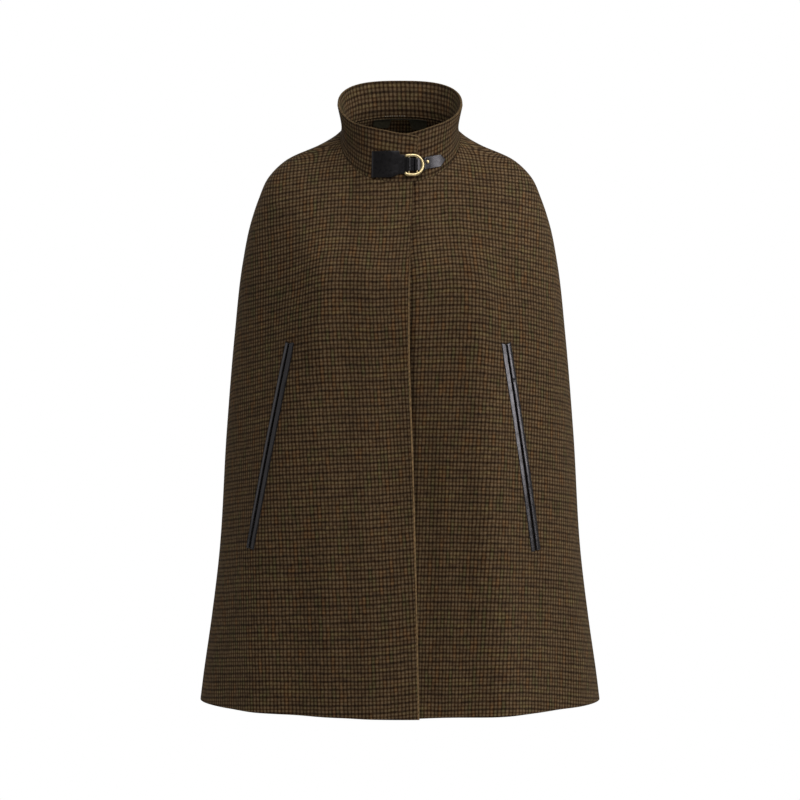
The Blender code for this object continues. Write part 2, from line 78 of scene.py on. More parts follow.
COLLAR_RINGS = (
    (0.00, 0.0808, 0.0008, 0.0850, -0.0705, 0.0600, 0.0340, 2.30, 0.92, 2.30, 0.92),
    (0.40, 0.0806, 0.0188, 0.0815, -0.0460, 0.0605, 0.0540, 2.20, 1.00, 2.40, 0.85),
    (1.00, 0.0864, 0.0457, 0.0765, -0.0085, 0.0660, 0.0855, 2.05, 1.18, 2.65, 0.76),
)
COLLAR_END_BASE = 0.0195
COLLAR_END_TOP = 0.0248

# How far the collar's top edge stands above its section, as in the solids
# place, lift
UPPER_LIFT = (
    (-0.130, 0.0000),
    (-0.100, 0.0015),
    (-0.077, 0.0026),
    (-0.063, 0.0045),
    (-0.036, 0.0075),
    (-0.017, 0.0073),
    (0.000, 0.0047),
    (0.015, 0.0018),
    (0.027, -0.0031),
)
LOWER_LIFT = (
    (-0.030, 0.0030),
    (0.010, 0.0044),
    (0.024, 0.0062),
    (0.039, 0.0073),
    (0.072, 0.0050),
    (0.093, 0.0025),
    (0.130, 0.0000),
)
LIFT_FADE = 1.3

# The upper front's edge: share, distance past the centre front
FRONT_EDGE = (
    (0.00, 0.0195),
    (0.20, 0.0145),
    (0.35, 0.0145),
    (0.55, 0.0180),
    (0.77, 0.0215),
    (1.00, 0.0245),
)

# How far the worn edge draws back from that line over the chest, and the share at which it starts to come
# back to it, which it does by twice that share
EDGE_TUCK = 0.0018
TUCK_FADE = 0.3

# Main folds, as in the solids
# panel, start, full, fade, end, place_top, place_bottom, half_width, height
FOLDS = (
    ("front", 0.26, 0.36, 0.55, 0.90, -0.010, -0.012, 0.030, -0.0040),
    ("right", 0.10, 0.205, 0.205, 0.50, 0.040, 0.040, 0.080, 0.0050),
    ("right", 0.15, 0.200, 0.200, 0.27, 0.040, 0.040, 0.080, 0.0024),
    ("right", 0.10, 0.22, 0.70, 0.95, 0.065, 0.245, 0.045, 0.0100),
    ("right", 0.30, 0.42, 0.60, 0.90, 0.080, 0.118, 0.036, 0.0032),
    ("right", 0.66, 0.95, 1.10, 1.20, 0.120, 0.140, 0.028, -0.0060),
    ("right", 0.60, 0.95, 1.10, 1.20, 0.190, 0.205, 0.026, 0.0050),
    ("left", 0.10, 0.205, 0.205, 0.50, 0.040, 0.040, 0.080, 0.0050),
    ("left", 0.15, 0.200, 0.200, 0.27, 0.040, 0.040, 0.080, 0.0024),
    ("left", 0.12, 0.24, 1.10, 1.20, 0.078, 0.140, 0.036, 0.0085),
    ("left", 0.30, 0.80, 1.10, 1.20, 0.052, 0.060, 0.034, -0.0090),
    ("left", 0.70, 0.95, 1.10, 1.20, 0.215, 0.235, 0.028, -0.0050),
    ("back", 0.25, 0.75, 1.10, 1.20, 0.000, 0.000, 0.034, -0.0090),
    ("back", 0.20, 0.70, 1.10, 1.20, 0.085, 0.105, 0.036, 0.0085),
    ("back", 0.20, 0.70, 1.10, 1.20, -0.085, -0.112, 0.036, 0.0085),
    ("back", 0.45, 0.85, 1.10, 1.20, 0.190, 0.205, 0.032, -0.0060),
    ("back", 0.40, 0.85, 1.10, 1.20, -0.185, -0.198, 0.032, -0.0060),
)

# Arm slits, as in the solids
SLIT_TOP = 0.3610
SLIT_BOTTOM = 0.7265
SLIT_WINDOW = 0.0142
SLIT_OPEN = 0.0016
# panel, at_neck, at_top, at_bottom, at_hem
SLIT_LINES = (
    ("right", 0.063, 0.1495, 0.2070, 0.242),
    ("left", 0.062, 0.146, 0.1905, 0.218),
)

# Neck label, by distances down from the neck seam
LABEL_WIDTH = 0.077
LABEL_TOP = 0.004
LABEL_BOTTOM = 0.026
LABEL_WALL = 0.0006

# Strap fastening on the collar: height of its middle, the base patch, and the strap cut in one with it
STRAP_Z = -0.0468
BASE_LEFT = -0.0365
BASE_RIGHT = -0.0010
BASE_TOP = 0.0183
BASE_LOW = 0.0178
BASE_CUT = 0.0095
BASE_ROLL = 0.0009
BASE_ROLL_REACH = 0.004
STRAP_HALF = 0.0131
STRAP_END = 0.0056
STRAP_STEP = 0.0008
STRAP_SOFT = 0.0007
LOOP_HALF = 0.0094

# Loops round the ring's two crossbars: the bars' radius and places, how high straps and bars lie over the
# cloth, each loop's first and last angle, and the stretch of leather that runs on below the base's loop
BAR_RADIUS = 0.0010
BASE_BAR = 0.0110
TAIL_BAR = 0.0213
FLAT_LIFT = SEAM_GAP + LEATHER_WALL / 2
BAR_LIFT = SEAM_GAP + LEATHER_WALL + SEAM_GAP + BAR_RADIUS
BASE_LOOP = (-30.0, 190.0)
TAIL_LOOP = (-190.0, 30.0)
LOOP_END = (0.0045, 0.0188)

# The tail's slope down from its loop, as (place past the bar, lift), and its run on to a pointed end
TAIL_DROP = ((0.0025, 0.0039), (0.0040, 0.0030), (0.0055, 0.0020), (0.0068, 0.0009), (0.0080, -0.0003),
             (0.0100, -0.0018), (0.0119, -0.0034))
TAIL_LIFT = FLAT_LIFT - LAYER_STEP
TAIL_UNDER_ARC = 0.0345
TAIL_SHOULDER = 0.0605
TAIL_TIP = 0.0700
TAIL_HALF = 0.0084
TAIL_RISE = 0.0092
TAIL_TIP_HALF = 0.0006

# The D-shaped ring: its bow, the points on to its two ends as (place, height), and how far ends round off
RING_Z = -0.0478
RING_RADIUS = 0.0021
RING_RIGHT = 0.0287
RING_HALF = 0.0133
RING_REACH = 0.0122
RING_LOW_END = ((0.0068, -0.0100), (0.0078, -0.0120), (0.0100, -0.0132))
RING_TOP_END = ((0.0096, 0.0129), (0.0064, 0.0120))
RING_ROUND = 0.0012

# Rivet head on the tail
STUD_PLACE = 0.0380
STUD_RISE = 0.0013
STUD_RADIUS = 0.0023
STUD_HEIGHT = 0.0014

# Mesh steps
RING_STEPS = 721
ROW_BANDS = ((0.0, 0.22, 56), (0.22, SLIT_TOP, 34), (SLIT_TOP, SLIT_BOTTOM, 80), (SLIT_BOTTOM, 1.0, 60))
FRONT_COLUMNS = 112
WINDOW_COLUMNS = 4
SIDE_COLUMNS = 34
BACK_COLUMNS = 132
COLLAR_STEPS = (30, 300)
RIM_STEPS = 6
PROBE = 0.002

# Points down and across, for the collar steps, of the coarse grids that cuts and weaves are laid out on
FRONT_CUT = (31, 23)
BACK_CUT = (29, 33)
COLLAR_CUT = (6, 100)
FRONT_WEAVE = (49, 27)
# Row from which a front's cut edge is straight, and limits of a cut's stiffness
STRAIGHT_FROM = 9
STIFFNESS = (0.02, 20.0)

# How far cloth edges round off: sewn edges, plain edges, turned front edges, with the width of their first
# column of cloth and the share at which they start to grow, up to twice that share, and the collar's edges
SEAM_RIM = 0.0001
EDGE_RIM = 0.0009
TURNED_RIM = 0.0021
TURNED_STEP = 0.0042
TURNED_FROM = 0.14
COLLAR_RIM = 0.0013

# Height of the collar along its cloth, how far its foot runs down into the seam, as a share, and in under the
# cloth, and the share below which its wall thins to one layer
COLLAR_GRAIN = 0.064
COLLAR_FOOT = -0.02
FOOT_TUCK = 0.0008
COLLAR_THIN = 0.25
# Its weave: height of cloth at the front and back, growth of u along it there, and place of the top edge
COLLAR_TALL = (0.0614, 0.0420)
COLLAR_WIDE = (0.92, 0.81)
COLLAR_CHECK = 0.0027

# How far the cloth rounds the bend at the neck seam: at the front, more at the sides, its reach, and its way
# outward and up
FILL_FRONT = 0.0005
FILL_SIDE = 0.0014
FILL_REACH = 0.0085
FILL_WAY = (0.75, 0.66)

# Where the photo's camera stands, and the width that it sees at the cape's middle
EYE_BACK = 3.2
EYE_Z = -0.362
SEEN_WIDTH = 1.10


def ease(value):
    """Smooth step from 0 to 1."""
    value = np.clip(value, 0.0, 1.0)
    return value * value * (3.0 - 2.0 * value)


def swell(share, start, full, fade, end):
    """Grows from 0 to 1 between start and full, and falls back to 0 between fade and end."""
    return ease((share - start) / (full - start)) * (1 - ease((share - fade) / (end - fade)))


def blend(low, high, share):
    """The value at a share of the way from low to high."""
    return low + (high - low) * share


def unit(vectors):
    return vectors / np.linalg.norm(vectors, axis=-1)[..., None]


def cross(a, b):
    """Cross product of vectors in a plane."""
    return a[..., 0] * b[..., 1] - a[..., 1] * b[..., 0]


def rotate(vectors, cos, sin):
    """Vectors in a plane, turned."""
    x, y = vectors[..., 0], vectors[..., 1]
    return np.stack([cos * x - sin * y, sin * x + cos * y], -1)


def run_along(grid, axis=0):
    """Distance along the points of a line, or of a grid's rows or columns."""
    return np.insert(np.linalg.norm(np.diff(grid, axis=axis), axis=-1).cumsum(axis), 0, 0.0, axis)


def hermite(low, high, low_slope, high_slope, t):
    """A smooth curve from low to high with the slopes given for the whole step, at t from 0 to 1."""
    near = (1 + 2 * t) * (1 - t) ** 2 * low + t * (1 - t) ** 2 * low_slope
    far = t * t * (3 - 2 * t) * high + t * t * (t - 1) * high_slope
    return near + far


def section(table, share):
    """One row of a section table at a share between its rows."""
    rows = np.array(table)
    at, values = rows[:, 0], rows[:, 1:]
    slopes = np.gradient(values, at, axis=0)
    i = int(np.clip(np.searchsorted(at, share) - 1, 0, len(at) - 2))
    step = at[i + 1] - at[i]
    return hermite(values[i], values[i + 1], step * slopes[i], step * slopes[i + 1], (share - at[i]) / step)


def curve(table, spots):
    """Values of a two-column table at spots along its first column, level past its ends."""
    at, value = np.array(table).T
    slope = np.gradient(value, at)
    spots = np.clip(spots, at[0], at[-1])
    i = np.clip(np.searchsorted(at, spots) - 1, 0, len(at) - 2)
    step = at[i + 1] - at[i]
    return hermite(value[i], value[i + 1], step * slope[i], step * slope[i + 1], (spots - at[i]) / step)


def smooth_at(table, spots):
    """Values of an evenly stepped table at spots from 0 to 1."""
    slopes = np.gradient(table, axis=0)
    at = np.clip(spots, 0.0, 1.0) * (len(table) - 1)
    i = np.minimum(at.astype(int), len(table) - 2)
    t = (at - i).reshape((-1,) + (1,) * (table.ndim - 1))
    return hermite(table[i], table[i + 1], slopes[i], slopes[i + 1], t)


# The cape's form

def half_ring(row):
    """Points, outward directions in plan and distances of a half ring, centre front to centre back."""
    side_x, side_z, front_y, front_z, back_y, back_z, square, bend, back_square, back_bend = row
    angle = np.linspace(0.0, math.pi, RING_STEPS)
    cos = np.cos(angle)
    reach = np.abs(cos)
    front = cos > 0
    power = np.where(front, 2 / square, 2 / back_square)
    x = side_x * np.abs(np.sin(angle)) ** power
    y = np.where(front, -front_y, back_y) * reach ** power
    rise = np.where(front, front_z - side_z, back_z - side_z)
    z = side_z + rise * reach ** np.where(front, bend, back_bend)
    points = np.stack([x, y, z], axis=1)
    along = unit(np.gradient(points[:, :2], axis=0))
    return points, np.stack([along[:, 1], -along[:, 0]], axis=1), run_along(points)


def on_ring(ring, place):
    """Points and outward directions at signed distances from the centre front, right side below 0."""
    points, outward, run = ring
    place = (place + run[-1]) % (2 * run[-1]) - run[-1]
    reach = np.abs(place)
    sign = np.where(place < 0, -1.0, 1.0)
    spot = np.stack([np.interp(reach, run, points[:, k]) for k in range(3)], axis=1)
    out = unit(np.stack([np.interp(reach, run, outward[:, k]) for k in range(2)], axis=1))
    spot[:, 0] *= sign
    out[:, 0] *= sign
    return spot, np.concatenate([out, np.zeros((len(out), 1))], axis=1)


def cape_ring(share):
    return half_ring(section(CAPE_RINGS, share))


def collar_ring(share):
    return half_ring(section(COLLAR_RINGS, share))


def layer(place):
    """How far the upper front and collar end stand out at a signed distance from the centre front."""
    return LAYER_STEP * ease((place + LAYER_START) / (LAYER_START - LAYER_FULL))


def neck_fill(spot, outward, away):
    """How far cloth is drawn out at a distance from the neck seam."""
    depth = FILL_FRONT + FILL_SIDE * (spot[:, 0] / CAPE_RINGS[0][1]) ** 2
    way = FILL_WAY[0] * outward + np.array((0.0, 0.0, FILL_WAY[1]))
    return depth[:, None] * way * math.exp(-((away / FILL_REACH) ** 2))


def fold_height(panel, share, place, table=FOLDS):
    """Sum of the folds of a panel at distances round the cloth."""
    total = np.zeros(len(place))
    for name, start, full, fade, end, top, bottom, width, height in table:
        if name != panel and not (name == "front" and panel in SIDES):
            continue
        centre = SIDES.get(name, 1.0) * blend(top, bottom, share)
        strength = swell(share, start, full, fade, end)
        total += height * strength * np.exp(-(((place - centre) / width) ** 2))
    return total


def side_run(share):
    """Distance from the centre front to the side seam."""
    return cape_ring(share)[2][RING_STEPS // 2]


def cape_row(panel, share, place):
    """Outer points of one panel at a share down the cape and signed distances round it."""
    ring = cape_ring(share)
    half = ring[2][-1]
    spot, outward = on_ring(ring, place)
    push = fold_height(panel, share, place % (2 * half) - half if panel == "back" else place)
    if panel == "right":
        push = push + layer(place)
    to_seam = np.abs(np.abs((place + half) % (2 * half) - half) - ring[2][RING_STEPS // 2])
    fill = neck_fill(spot, outward, share * CAPE_LENGTH)
    return spot + outward * (push * ease(to_seam / SEAM_CALM))[:, None] + fill


def cape_normals(panel, share, place):
    """Outward directions of a panel's face, alike on both sides of a seam."""
    across = cape_row(panel, share, place + PROBE) - cape_row(panel, share, place - PROBE)
    down = cape_row(panel, min(share + PROBE, 1.0), place) - cape_row(panel, max(share - PROBE, 0.0), place)
    return unit(np.cross(down, across))


def slit_place(panel, share):
    """Distance of the slit's centre line from the centre front."""
    line = next(row for row in SLIT_LINES if row[0] == panel)
    return float(np.interp(share, (0.0, SLIT_TOP, SLIT_BOTTOM, 1.0), line[1:]))


def front_past(panel, share):
    """How far a front runs past the centre front."""
    if panel == "left":
        return UNDER_REACH
    tuck = EDGE_TUCK * (1 - ease((share - TUCK_FADE) / TUCK_FADE))
    return float(curve(FRONT_EDGE, share) - tuck)


# Flat cut of each cloth piece

def spring_matrix(count, links):
    """Pulls between points that are linked as (i, j, stiffness), with the first point held."""
    pull = np.zeros((count, count))
    for i, j, weight in links:
        for a, b, way in ((i, i, 1), (j, j, 1), (i, j, -1), (j, i, -1)):
            np.add.at(pull, (a, b), way * weight)
    pull[0, 0] += 1.0
    return pull


def flatten(grid, rounds=60):
    """A grid of points, rows down and columns across, laid flat with the least stretch, as (u, v)."""
    rows, columns = grid.shape[:2]
    count = rows * columns
    index = np.arange(count).reshape(rows, columns)
    a, b = index[:-1, :-1].ravel(), index[1:, :-1].ravel()
    c, d = index[1:, 1:].ravel(), index[:-1, 1:].ravel()
    faces = np.concatenate([np.stack([a, b, c], 1), np.stack([a, c, d], 1)])
    p0, p1, p2 = (grid.reshape(-1, 3)[faces[:, k]] for k in range(3))
    along = unit(p1 - p0)
    reach = ((p2 - p0) * along).sum(1)
    local = np.zeros((len(faces), 3, 2))
    local[:, 1, 0] = np.linalg.norm(p1 - p0, axis=1)
    local[:, 2, 0] = reach
    local[:, 2, 1] = np.linalg.norm((p2 - p0) - along * reach[:, None], axis=1)
    edges = []
    for k in range(3):
        one, two = (k + 1) % 3, (k + 2) % 3
        u, v = local[:, k] - local[:, two], local[:, k] - local[:, one]
        weight = np.clip((u * v).sum(1) / np.abs(cross(u, v)), *STIFFNESS)
        edges.append((faces[:, one], faces[:, two], weight, local[:, one] - local[:, two]))
    solve = np.linalg.inv(spring_matrix(count, [edge[:3] for edge in edges]))
    across = run_along(grid, 1)
    across -= across.mean(1)[:, None]
    flat = np.stack([across, -run_along(grid, 0)], 2).reshape(-1, 2)
    for _ in range(rounds):
        cos, sin = np.zeros((2, len(faces)))
        for i, j, weight, edge in edges:
            now = flat[i] - flat[j]
            cos += weight * (edge * now).sum(1)
            sin += weight * cross(edge, now)
        size = np.hypot(cos, sin)
        goal = np.zeros((count, 2))
        for i, j, weight, edge in edges:
            step = weight[:, None] * rotate(edge, cos / size, sin / size)
            np.add.at(goal, i, step)
            np.add.at(goal, j, -step)
        flat = solve @ goal
    return flat.reshape(rows, columns, 2)


def turned(flat, start, end):
    """A flat cut turned so that the line from start to end runs straight down from v = 0 at u = 0."""
    way = flat[end] - flat[start]
    angle = -(math.atan2(way[1], way[0]) + math.pi / 2)
    return rotate(flat - flat[start], math.cos(angle), math.sin(angle))


def flat_size(uv):
    """Width, length and area of a flat cut."""
    a, b, c, d = uv[:-1, :-1], uv[1:, :-1], uv[1:, 1:], uv[:-1, 1:]
    width, length = np.ptp(uv.reshape(-1, 2), axis=0)
    return float(width), float(length), float(0.5 * np.abs(cross(c - a, d - b)).sum())


# Meshes

def make_object(name, points, faces, materials, uv=None):
    mesh = bpy.data.meshes.new(name)
    mesh.from_pydata(np.asarray(points).tolist(), [], [list(f) for f in faces])
    if uv is not None:
        corners = np.empty(len(mesh.loops), np.int32)
        mesh.loops.foreach_get("vertex_index", corners)
        mesh.uv_layers.new(name="grain").data.foreach_set("uv", np.asarray(uv, np.float32)[corners].ravel())
    for material in materials:
        mesh.materials.append(material)
    mesh.polygons.foreach_set("use_smooth", np.full(len(mesh.polygons), True))
    mesh.update()
    item = bpy.data.objects.new(name, mesh)
    bpy.context.scene.collection.objects.link(item)
    return item


def shell(name, outer, normal, wall, uv, material, flip=False, gone=None, rim=EDGE_RIM, rolled=None):
    """A closed cloth shell with round edges. gone marks the cells of an opening, rim how far edges round off,
    rolled is the material of edges that round off widely."""
    rows, columns = outer.shape[0] - 1, outer.shape[1] - 1
    count = (rows + 1) * (columns + 1)
    index = np.arange(count).reshape(rows + 1, columns + 1)
    keep = np.ones((rows, columns), bool) if gone is None else ~gone
    a, b = index[:-1, :-1][keep], index[1:, :-1][keep]
    c, d = index[1:, 1:][keep], index[:-1, 1:][keep]
    quads = np.stack([a, d, c, b], 1) if flip else np.stack([a, b, c, d], 1)
    face = outer.reshape(-1, 3).copy()
    out_normal = normal.reshape(-1, 3)
    flat = uv.reshape(-1, 2)
    # edges with a face on one side only, and the ways out past them on the cloth and on its weave
    ends = np.concatenate([quads[:, [k, (k + 1) % 4]] for k in range(4)])
    code = ends[:, 0] * count + ends[:, 1]
    border = ends[~np.isin(code, ends[:, 1] * count + ends[:, 0])]
    edge = np.unique(border)
    i, j = border[:, 0], border[:, 1]
    push = unit(np.cross(face[j] - face[i], out_normal[i] + out_normal[j]))
    turn = flat[quads]
    sign = 1.0 if cross(turn[:, 2] - turn[:, 0], turn[:, 3] - turn[:, 1]).sum() > 0 else -1.0
    step = flat[j] - flat[i]
    step = unit(sign * np.stack([step[:, 1], -step[:, 0]], 1))
    away, flat_away = np.zeros((count, 3)), np.zeros((count, 2))
    for end in (i, j):
        np.add.at(away, end, push)
        np.add.at(flat_away, end, step)
    away, flat_away = unit(away[edge]), flat_away[edge]
    # the outer and inner face, drawn back from those edges, and a half round between them
    wall = np.broadcast_to(wall, outer.shape[:2]).reshape(-1, 1)
    rim = np.broadcast_to(rim, outer.shape[:2]).reshape(-1)[edge][:, None]
    middle = face - out_normal * wall / 2
    inner = middle - out_normal * wall / 2
    face[edge] -= rim * away
    inner[edge] -= rim * away
    points, spread = [face, inner], [flat, flat]
    for k in range(1, RIM_STEPS):
        angle = math.pi * k / RIM_STEPS
        points.append(middle[edge] + out_normal[edge] * wall[edge] / 2 * math.cos(angle)
                      + away * rim * (math.sin(angle) - 1.0))
        spread.append(flat[edge] + 0.5 * flat_away * wall[edge] * k / RIM_STEPS)
    points, spread = np.concatenate(points), np.concatenate(spread)
    spot = np.full(count, -1)
    spot[edge] = np.arange(len(edge))
    faces = [quads, quads[:, ::-1] + count]
    for k in range(RIM_STEPS):
        near = border if k == 0 else 2 * count + (k - 1) * len(edge) + spot[border]
        far = border + count if k == RIM_STEPS - 1 else 2 * count + k * len(edge) + spot[border]
        faces.append(np.stack([near[:, 1], near[:, 0], far[:, 0], far[:, 1]], 1))
    faces = np.concatenate(faces)
    used = np.unique(faces)
    fresh = np.full(len(points), -1)
    fresh[used] = np.arange(len(used))
    materials = [material, rolled] if rolled else [material]
    item = make_object(name, points[used], fresh[faces], materials, spread[used])
    wide = (rim[spot[border], 0] > EDGE_RIM).all(1) if rolled else np.zeros(len(border), bool)
    looks = np.concatenate([np.zeros(2 * len(quads), bool), np.tile(wide, RIM_STEPS)])
    item.data.polygons.foreach_set("material_index", looks.astype(np.int32))
    return item


def swept(name, sections, material):
    """A closed skin over rings of points, with flat ends."""
    sections = np.asarray(sections)
    steps, sides = sections.shape[:2]
    index = np.arange(steps * sides).reshape(steps, sides)
    after = np.roll(index, -1, axis=1)
    faces = np.stack([index[:-1], after[:-1], after[1:], index[1:]], -1).reshape(-1, 4).tolist()
    faces += [index[0][::-1].tolist(), index[-1].tolist()]
    return make_object(name, sections.reshape(-1, 3), faces, [material])


def tube(path, radius, sides=20):
    """Rings of points round a path."""
    path = np.asarray(path)
    along = unit(np.gradient(path, axis=0))
    across = np.cross(along[0], (0.0, 1.0, 0.0))
    angle = np.linspace(0.0, 2 * math.pi, sides, endpoint=False)[:, None]
    rings = []
    for spot, way, size in zip(path, along, np.broadcast_to(radius, len(path))):
        across = unit(across - way * np.dot(across, way))
        rings.append(spot + size * (np.cos(angle) * across + np.sin(angle) * np.cross(way, across)))
    return np.array(rings)


def join(name, items):
    """Several objects as one."""
    for item in items:
        item.select_set(True)
    bpy.context.view_layer.objects.active = items[0]
    with bpy.context.temp_override(active_object=items[0], selected_editable_objects=items):
        bpy.ops.object.join()
    items[0].name = name
    items[0].select_set(False)
    return items[0]


# Weave of the fronts as seen from the front. Level lines: degrees by which they sink outward, a row for
# each height, a column for each distance out from the middle
CHART_OUT = (-0.005, 0.023, 0.054, 0.086, 0.118, 0.151, 0.184, 0.220)
SLOPES = {
    "right": (
        (-0.086, 2, 1, 0, 4, 9, 10, 11, 11),
        (-0.132, 5, 5, -5, 6, 15, 14, 13, 13),
        (-0.178, 2, 0, -2, 6, 18, 17, 16, 15),
        (-0.224, 3, 3, -3, 3, 20, 20, 18, 16),
        (-0.270, 5, 5, -3, 1, 10, 20, 18, 16),
        (-0.317, 4, 3, 0, 1, 4, 9, 16, 15),
        (-0.363, 4, 3, 0, 1, 3, 6, 16, 15),
        (-0.416, 4, 3, 1, 2, 2, 3, 12, 14),
        (-0.468, 5, 3, 1, 2, 3, 1, 7, 10),
        (-0.521, 6, 4, 2, 2, 3, 0, 0, 4),
        (-0.627, 7, 4, 2, 0, 1, 0, 1, 2),
        (-0.732, 7, 4, 1, 0, -1, 0, 0, 2),
    ),
    "left": (
        (-0.086, -6, -6, -6, 6, 6, 8, 9, 9),
        (-0.132, -8, -8, -8, 7, 10, 10, 13, 13),
        (-0.178, -6, -6, -4, 8, 16, 13, 15, 15),
        (-0.224, -5, -5, -5, 4, 16, 13, 17, 16),
        (-0.270, -2, -2, -2, 3, 14, 9, 20, 17),
        (-0.317, -1, -1, -1, 3, 9, 7, 17, 16),
        (-0.363, 0, 0, 0, 1, 5, 5, 9, 11),
        (-0.416, 0, 0, 0, 1, 2, 6, 8, 9),
        (-0.521, 1, 1, 2, 1, 1, 4, 6, 8),
        (-0.627, 0, 0, 0, 1, 1, -1, 1, 6),
        (-0.732, 0, 0, 0, -3, -2, 0, 5, 8),
    ),
}
# Uprights: degrees by which they lean outward going down
LEANS = (
    (-0.086, 1, 1, -3, -4.5, -7.5, -8, -8, -8),
    (-0.132, 1, 1, 1.5, 0.5, -3, -5, -5, -5),
    (-0.178, 4, 4.5, 4, 2.5, -1, -3, -3, -3),
    (-0.224, -2, -2, -3, -2.5, 1, -1, -1, -1),
    (-0.270, -3, -3, -3, -3, -1.5, -1.5, -2, -2),
    (-0.317, -2, -2, -2, -2, -2, -2, -2, -2),
    (-0.416, -1.5, -1.5, -1.5, -1.5, -1.5, -1.5, -1.5, -1.5),
    (-0.732, -1, -1, -1, -1, -1, -1, -1, -1),
)
# Spacing of the uprights against their own step
SPREADS = {
    "right": (
        (-0.086, 1.02, 1.02, 1.03, 1.03, 1.03, 1.02, 1.00, 1.00),
        (-0.132, 0.95, 0.94, 1.02, 0.98, 0.95, 0.99, 1.00, 1.00),
        (-0.178, 0.96, 0.96, 1.01, 0.92, 0.85, 0.94, 0.96, 0.96),
        (-0.224, 0.95, 0.95, 1.00, 0.93, 0.78, 0.87, 0.92, 0.94),
        (-0.270, 0.94, 0.94, 1.00, 0.96, 0.94, 0.86, 0.90, 0.92),
        (-0.317, 0.92, 0.92, 1.00, 0.98, 1.00, 0.90, 0.90, 0.92),
        (-0.363, 0.92, 0.93, 1.00, 0.99, 1.02, 0.92, 0.92, 0.94),
        (-0.416, 0.94, 0.95, 1.00, 0.99, 1.04, 1.00, 0.96, 0.96),
        (-0.521, 0.94, 0.94, 1.00, 0.99, 1.06, 1.03, 1.00, 1.00),
        (-0.627, 0.96, 0.96, 1.02, 1.03, 1.09, 1.08, 1.04, 1.02),
        (-0.732, 0.96, 0.97, 1.03, 1.05, 1.13, 1.06, 1.04, 1.02),
    ),
    "left": (
        (-0.086, 1.02, 1.02, 1.03, 1.03, 1.03, 1.02, 1.00, 1.00),
        (-0.132, 1.00, 1.02, 1.04, 1.00, 0.99, 0.97, 1.00, 1.00),
        (-0.178, 0.98, 1.00, 1.00, 0.96, 0.92, 0.92, 0.95, 0.96),
        (-0.224, 0.98, 0.99, 0.99, 0.94, 0.90, 0.88, 0.92, 0.94),
        (-0.270, 0.97, 0.98, 0.98, 0.95, 1.00, 0.95, 0.85, 0.90),
        (-0.317, 0.98, 0.99, 1.00, 0.97, 1.01, 0.98, 0.87, 0.90),
        (-0.363, 0.97, 0.98, 0.99, 0.99, 1.03, 1.00, 0.98, 0.96),
        (-0.416, 0.96, 0.96, 0.97, 0.99, 1.01, 1.02, 1.04, 1.00),
        (-0.521, 0.92, 0.91, 0.91, 0.97, 0.97, 1.03, 1.04, 1.02),
        (-0.627, 0.88, 0.87, 0.87, 0.93, 0.97, 1.14, 1.05, 1.02),
        (-0.732, 0.88, 0.87, 0.87, 0.92, 0.98, 1.19, 1.18, 1.05),
    ),
}
# Spacing of the level lines against their own step: height, spacing
PITCHES = (
    (-0.732, 0.970),
    (-0.627, 1.045),
    (-0.521, 0.970),
    (-0.416, 0.965),
    (-0.317, 0.982),
    (-0.270, 0.975),
    (-0.224, 0.990),
    (-0.178, 1.010),
    (-0.132, 1.080),
    (-0.086, 1.190),
)

# A face that looks aside follows its fall line more than the charts: facing from which the charts count, how
# much more of it makes them count in full, and the least facing that lines are drawn across
SEEN_FROM = 0.15
SEEN_OVER = 0.35
LEAST_FACING = 0.25


def chart_at(rows, high, out):
    """Values of a chart with a row for each height and a column for each distance out."""
    rows = np.array(rows, float)[::-1]
    columns = len(CHART_OUT)
    by_column = np.stack([np.interp(high, rows[:, 0], rows[:, k + 1]) for k in range(columns)], -1)
    at = np.interp(out, CHART_OUT, np.arange(columns))
    low = np.minimum(at.astype(int), columns - 2)
    part = ease(at - low) * 0.5 + (at - low) * 0.5
    pick = np.take_along_axis(by_column, low[..., None], -1)[..., 0]
    after = np.take_along_axis(by_column, low[..., None] + 1, -1)[..., 0]
    return blend(pick, after, part)


def weave_ways(panel, grid):
    """Directions in which the weave's u and v grow, per metre, on a grid of rows down and columns outward."""
    side = SIDES[panel]
    across, down = np.gradient(grid, axis=1), np.gradient(grid, axis=0)
    normal = unit(side * np.cross(down, across))
    nx, ny, nz = np.moveaxis(normal, -1, 0)
    x, y, z = np.moveaxis(grid, -1, 0)
    lean, slope, spread = (chart_at(rows, z, side * x) for rows in (LEANS, SLOPES[panel], SPREADS[panel]))
    pitch = np.interp(z, *np.array(PITCHES).T)
    # lines on the face that the eye sees at the charts' angles
    a, b = x / (EYE_BACK + y), (z - EYE_Z) / (EYE_BACK + y)
    sinking = np.tan(np.radians(slope))
    k = b + sinking * side * a
    ty = -(nx * side - nz * sinking) / np.minimum(ny + nz * k, -LEAST_FACING)
    level = unit(np.stack([np.full_like(x, side), ty, ty * k - sinking], -1))
    lean = np.tan(np.radians(lean))
    k = a + side * lean * b
    ty = -(nx * side * lean - nz) / np.minimum(ny + nx * k, -LEAST_FACING)
    upright = unit(np.stack([side * lean + ty * k, ty, np.full_like(x, -1.0)], -1))
    # lines along and across the fall line, where the face looks aside
    fall = unit(normal * normal[..., 2:] - np.array((0.0, 0.0, 1.0)))
    contour = np.cross(normal, fall)
    contour *= np.sign((contour * across).sum(-1))[..., None]
    turn = np.radians(slope)[..., None]
    seen = ease((-ny - SEEN_FROM) / SEEN_OVER)[..., None]
    level = seen * level + (1 - seen) * (np.cos(turn) * contour + np.sin(turn) * fall)
    upright = seen * upright + (1 - seen) * fall
    out = unit(np.cross(upright, normal))
    out *= np.sign((out * across).sum(-1))[..., None]
    up = unit(np.cross(level, normal))
    up *= -np.sign((up * fall).sum(-1))[..., None]
    return np.stack([out / spread[..., None], up / pitch[..., None]], -1)


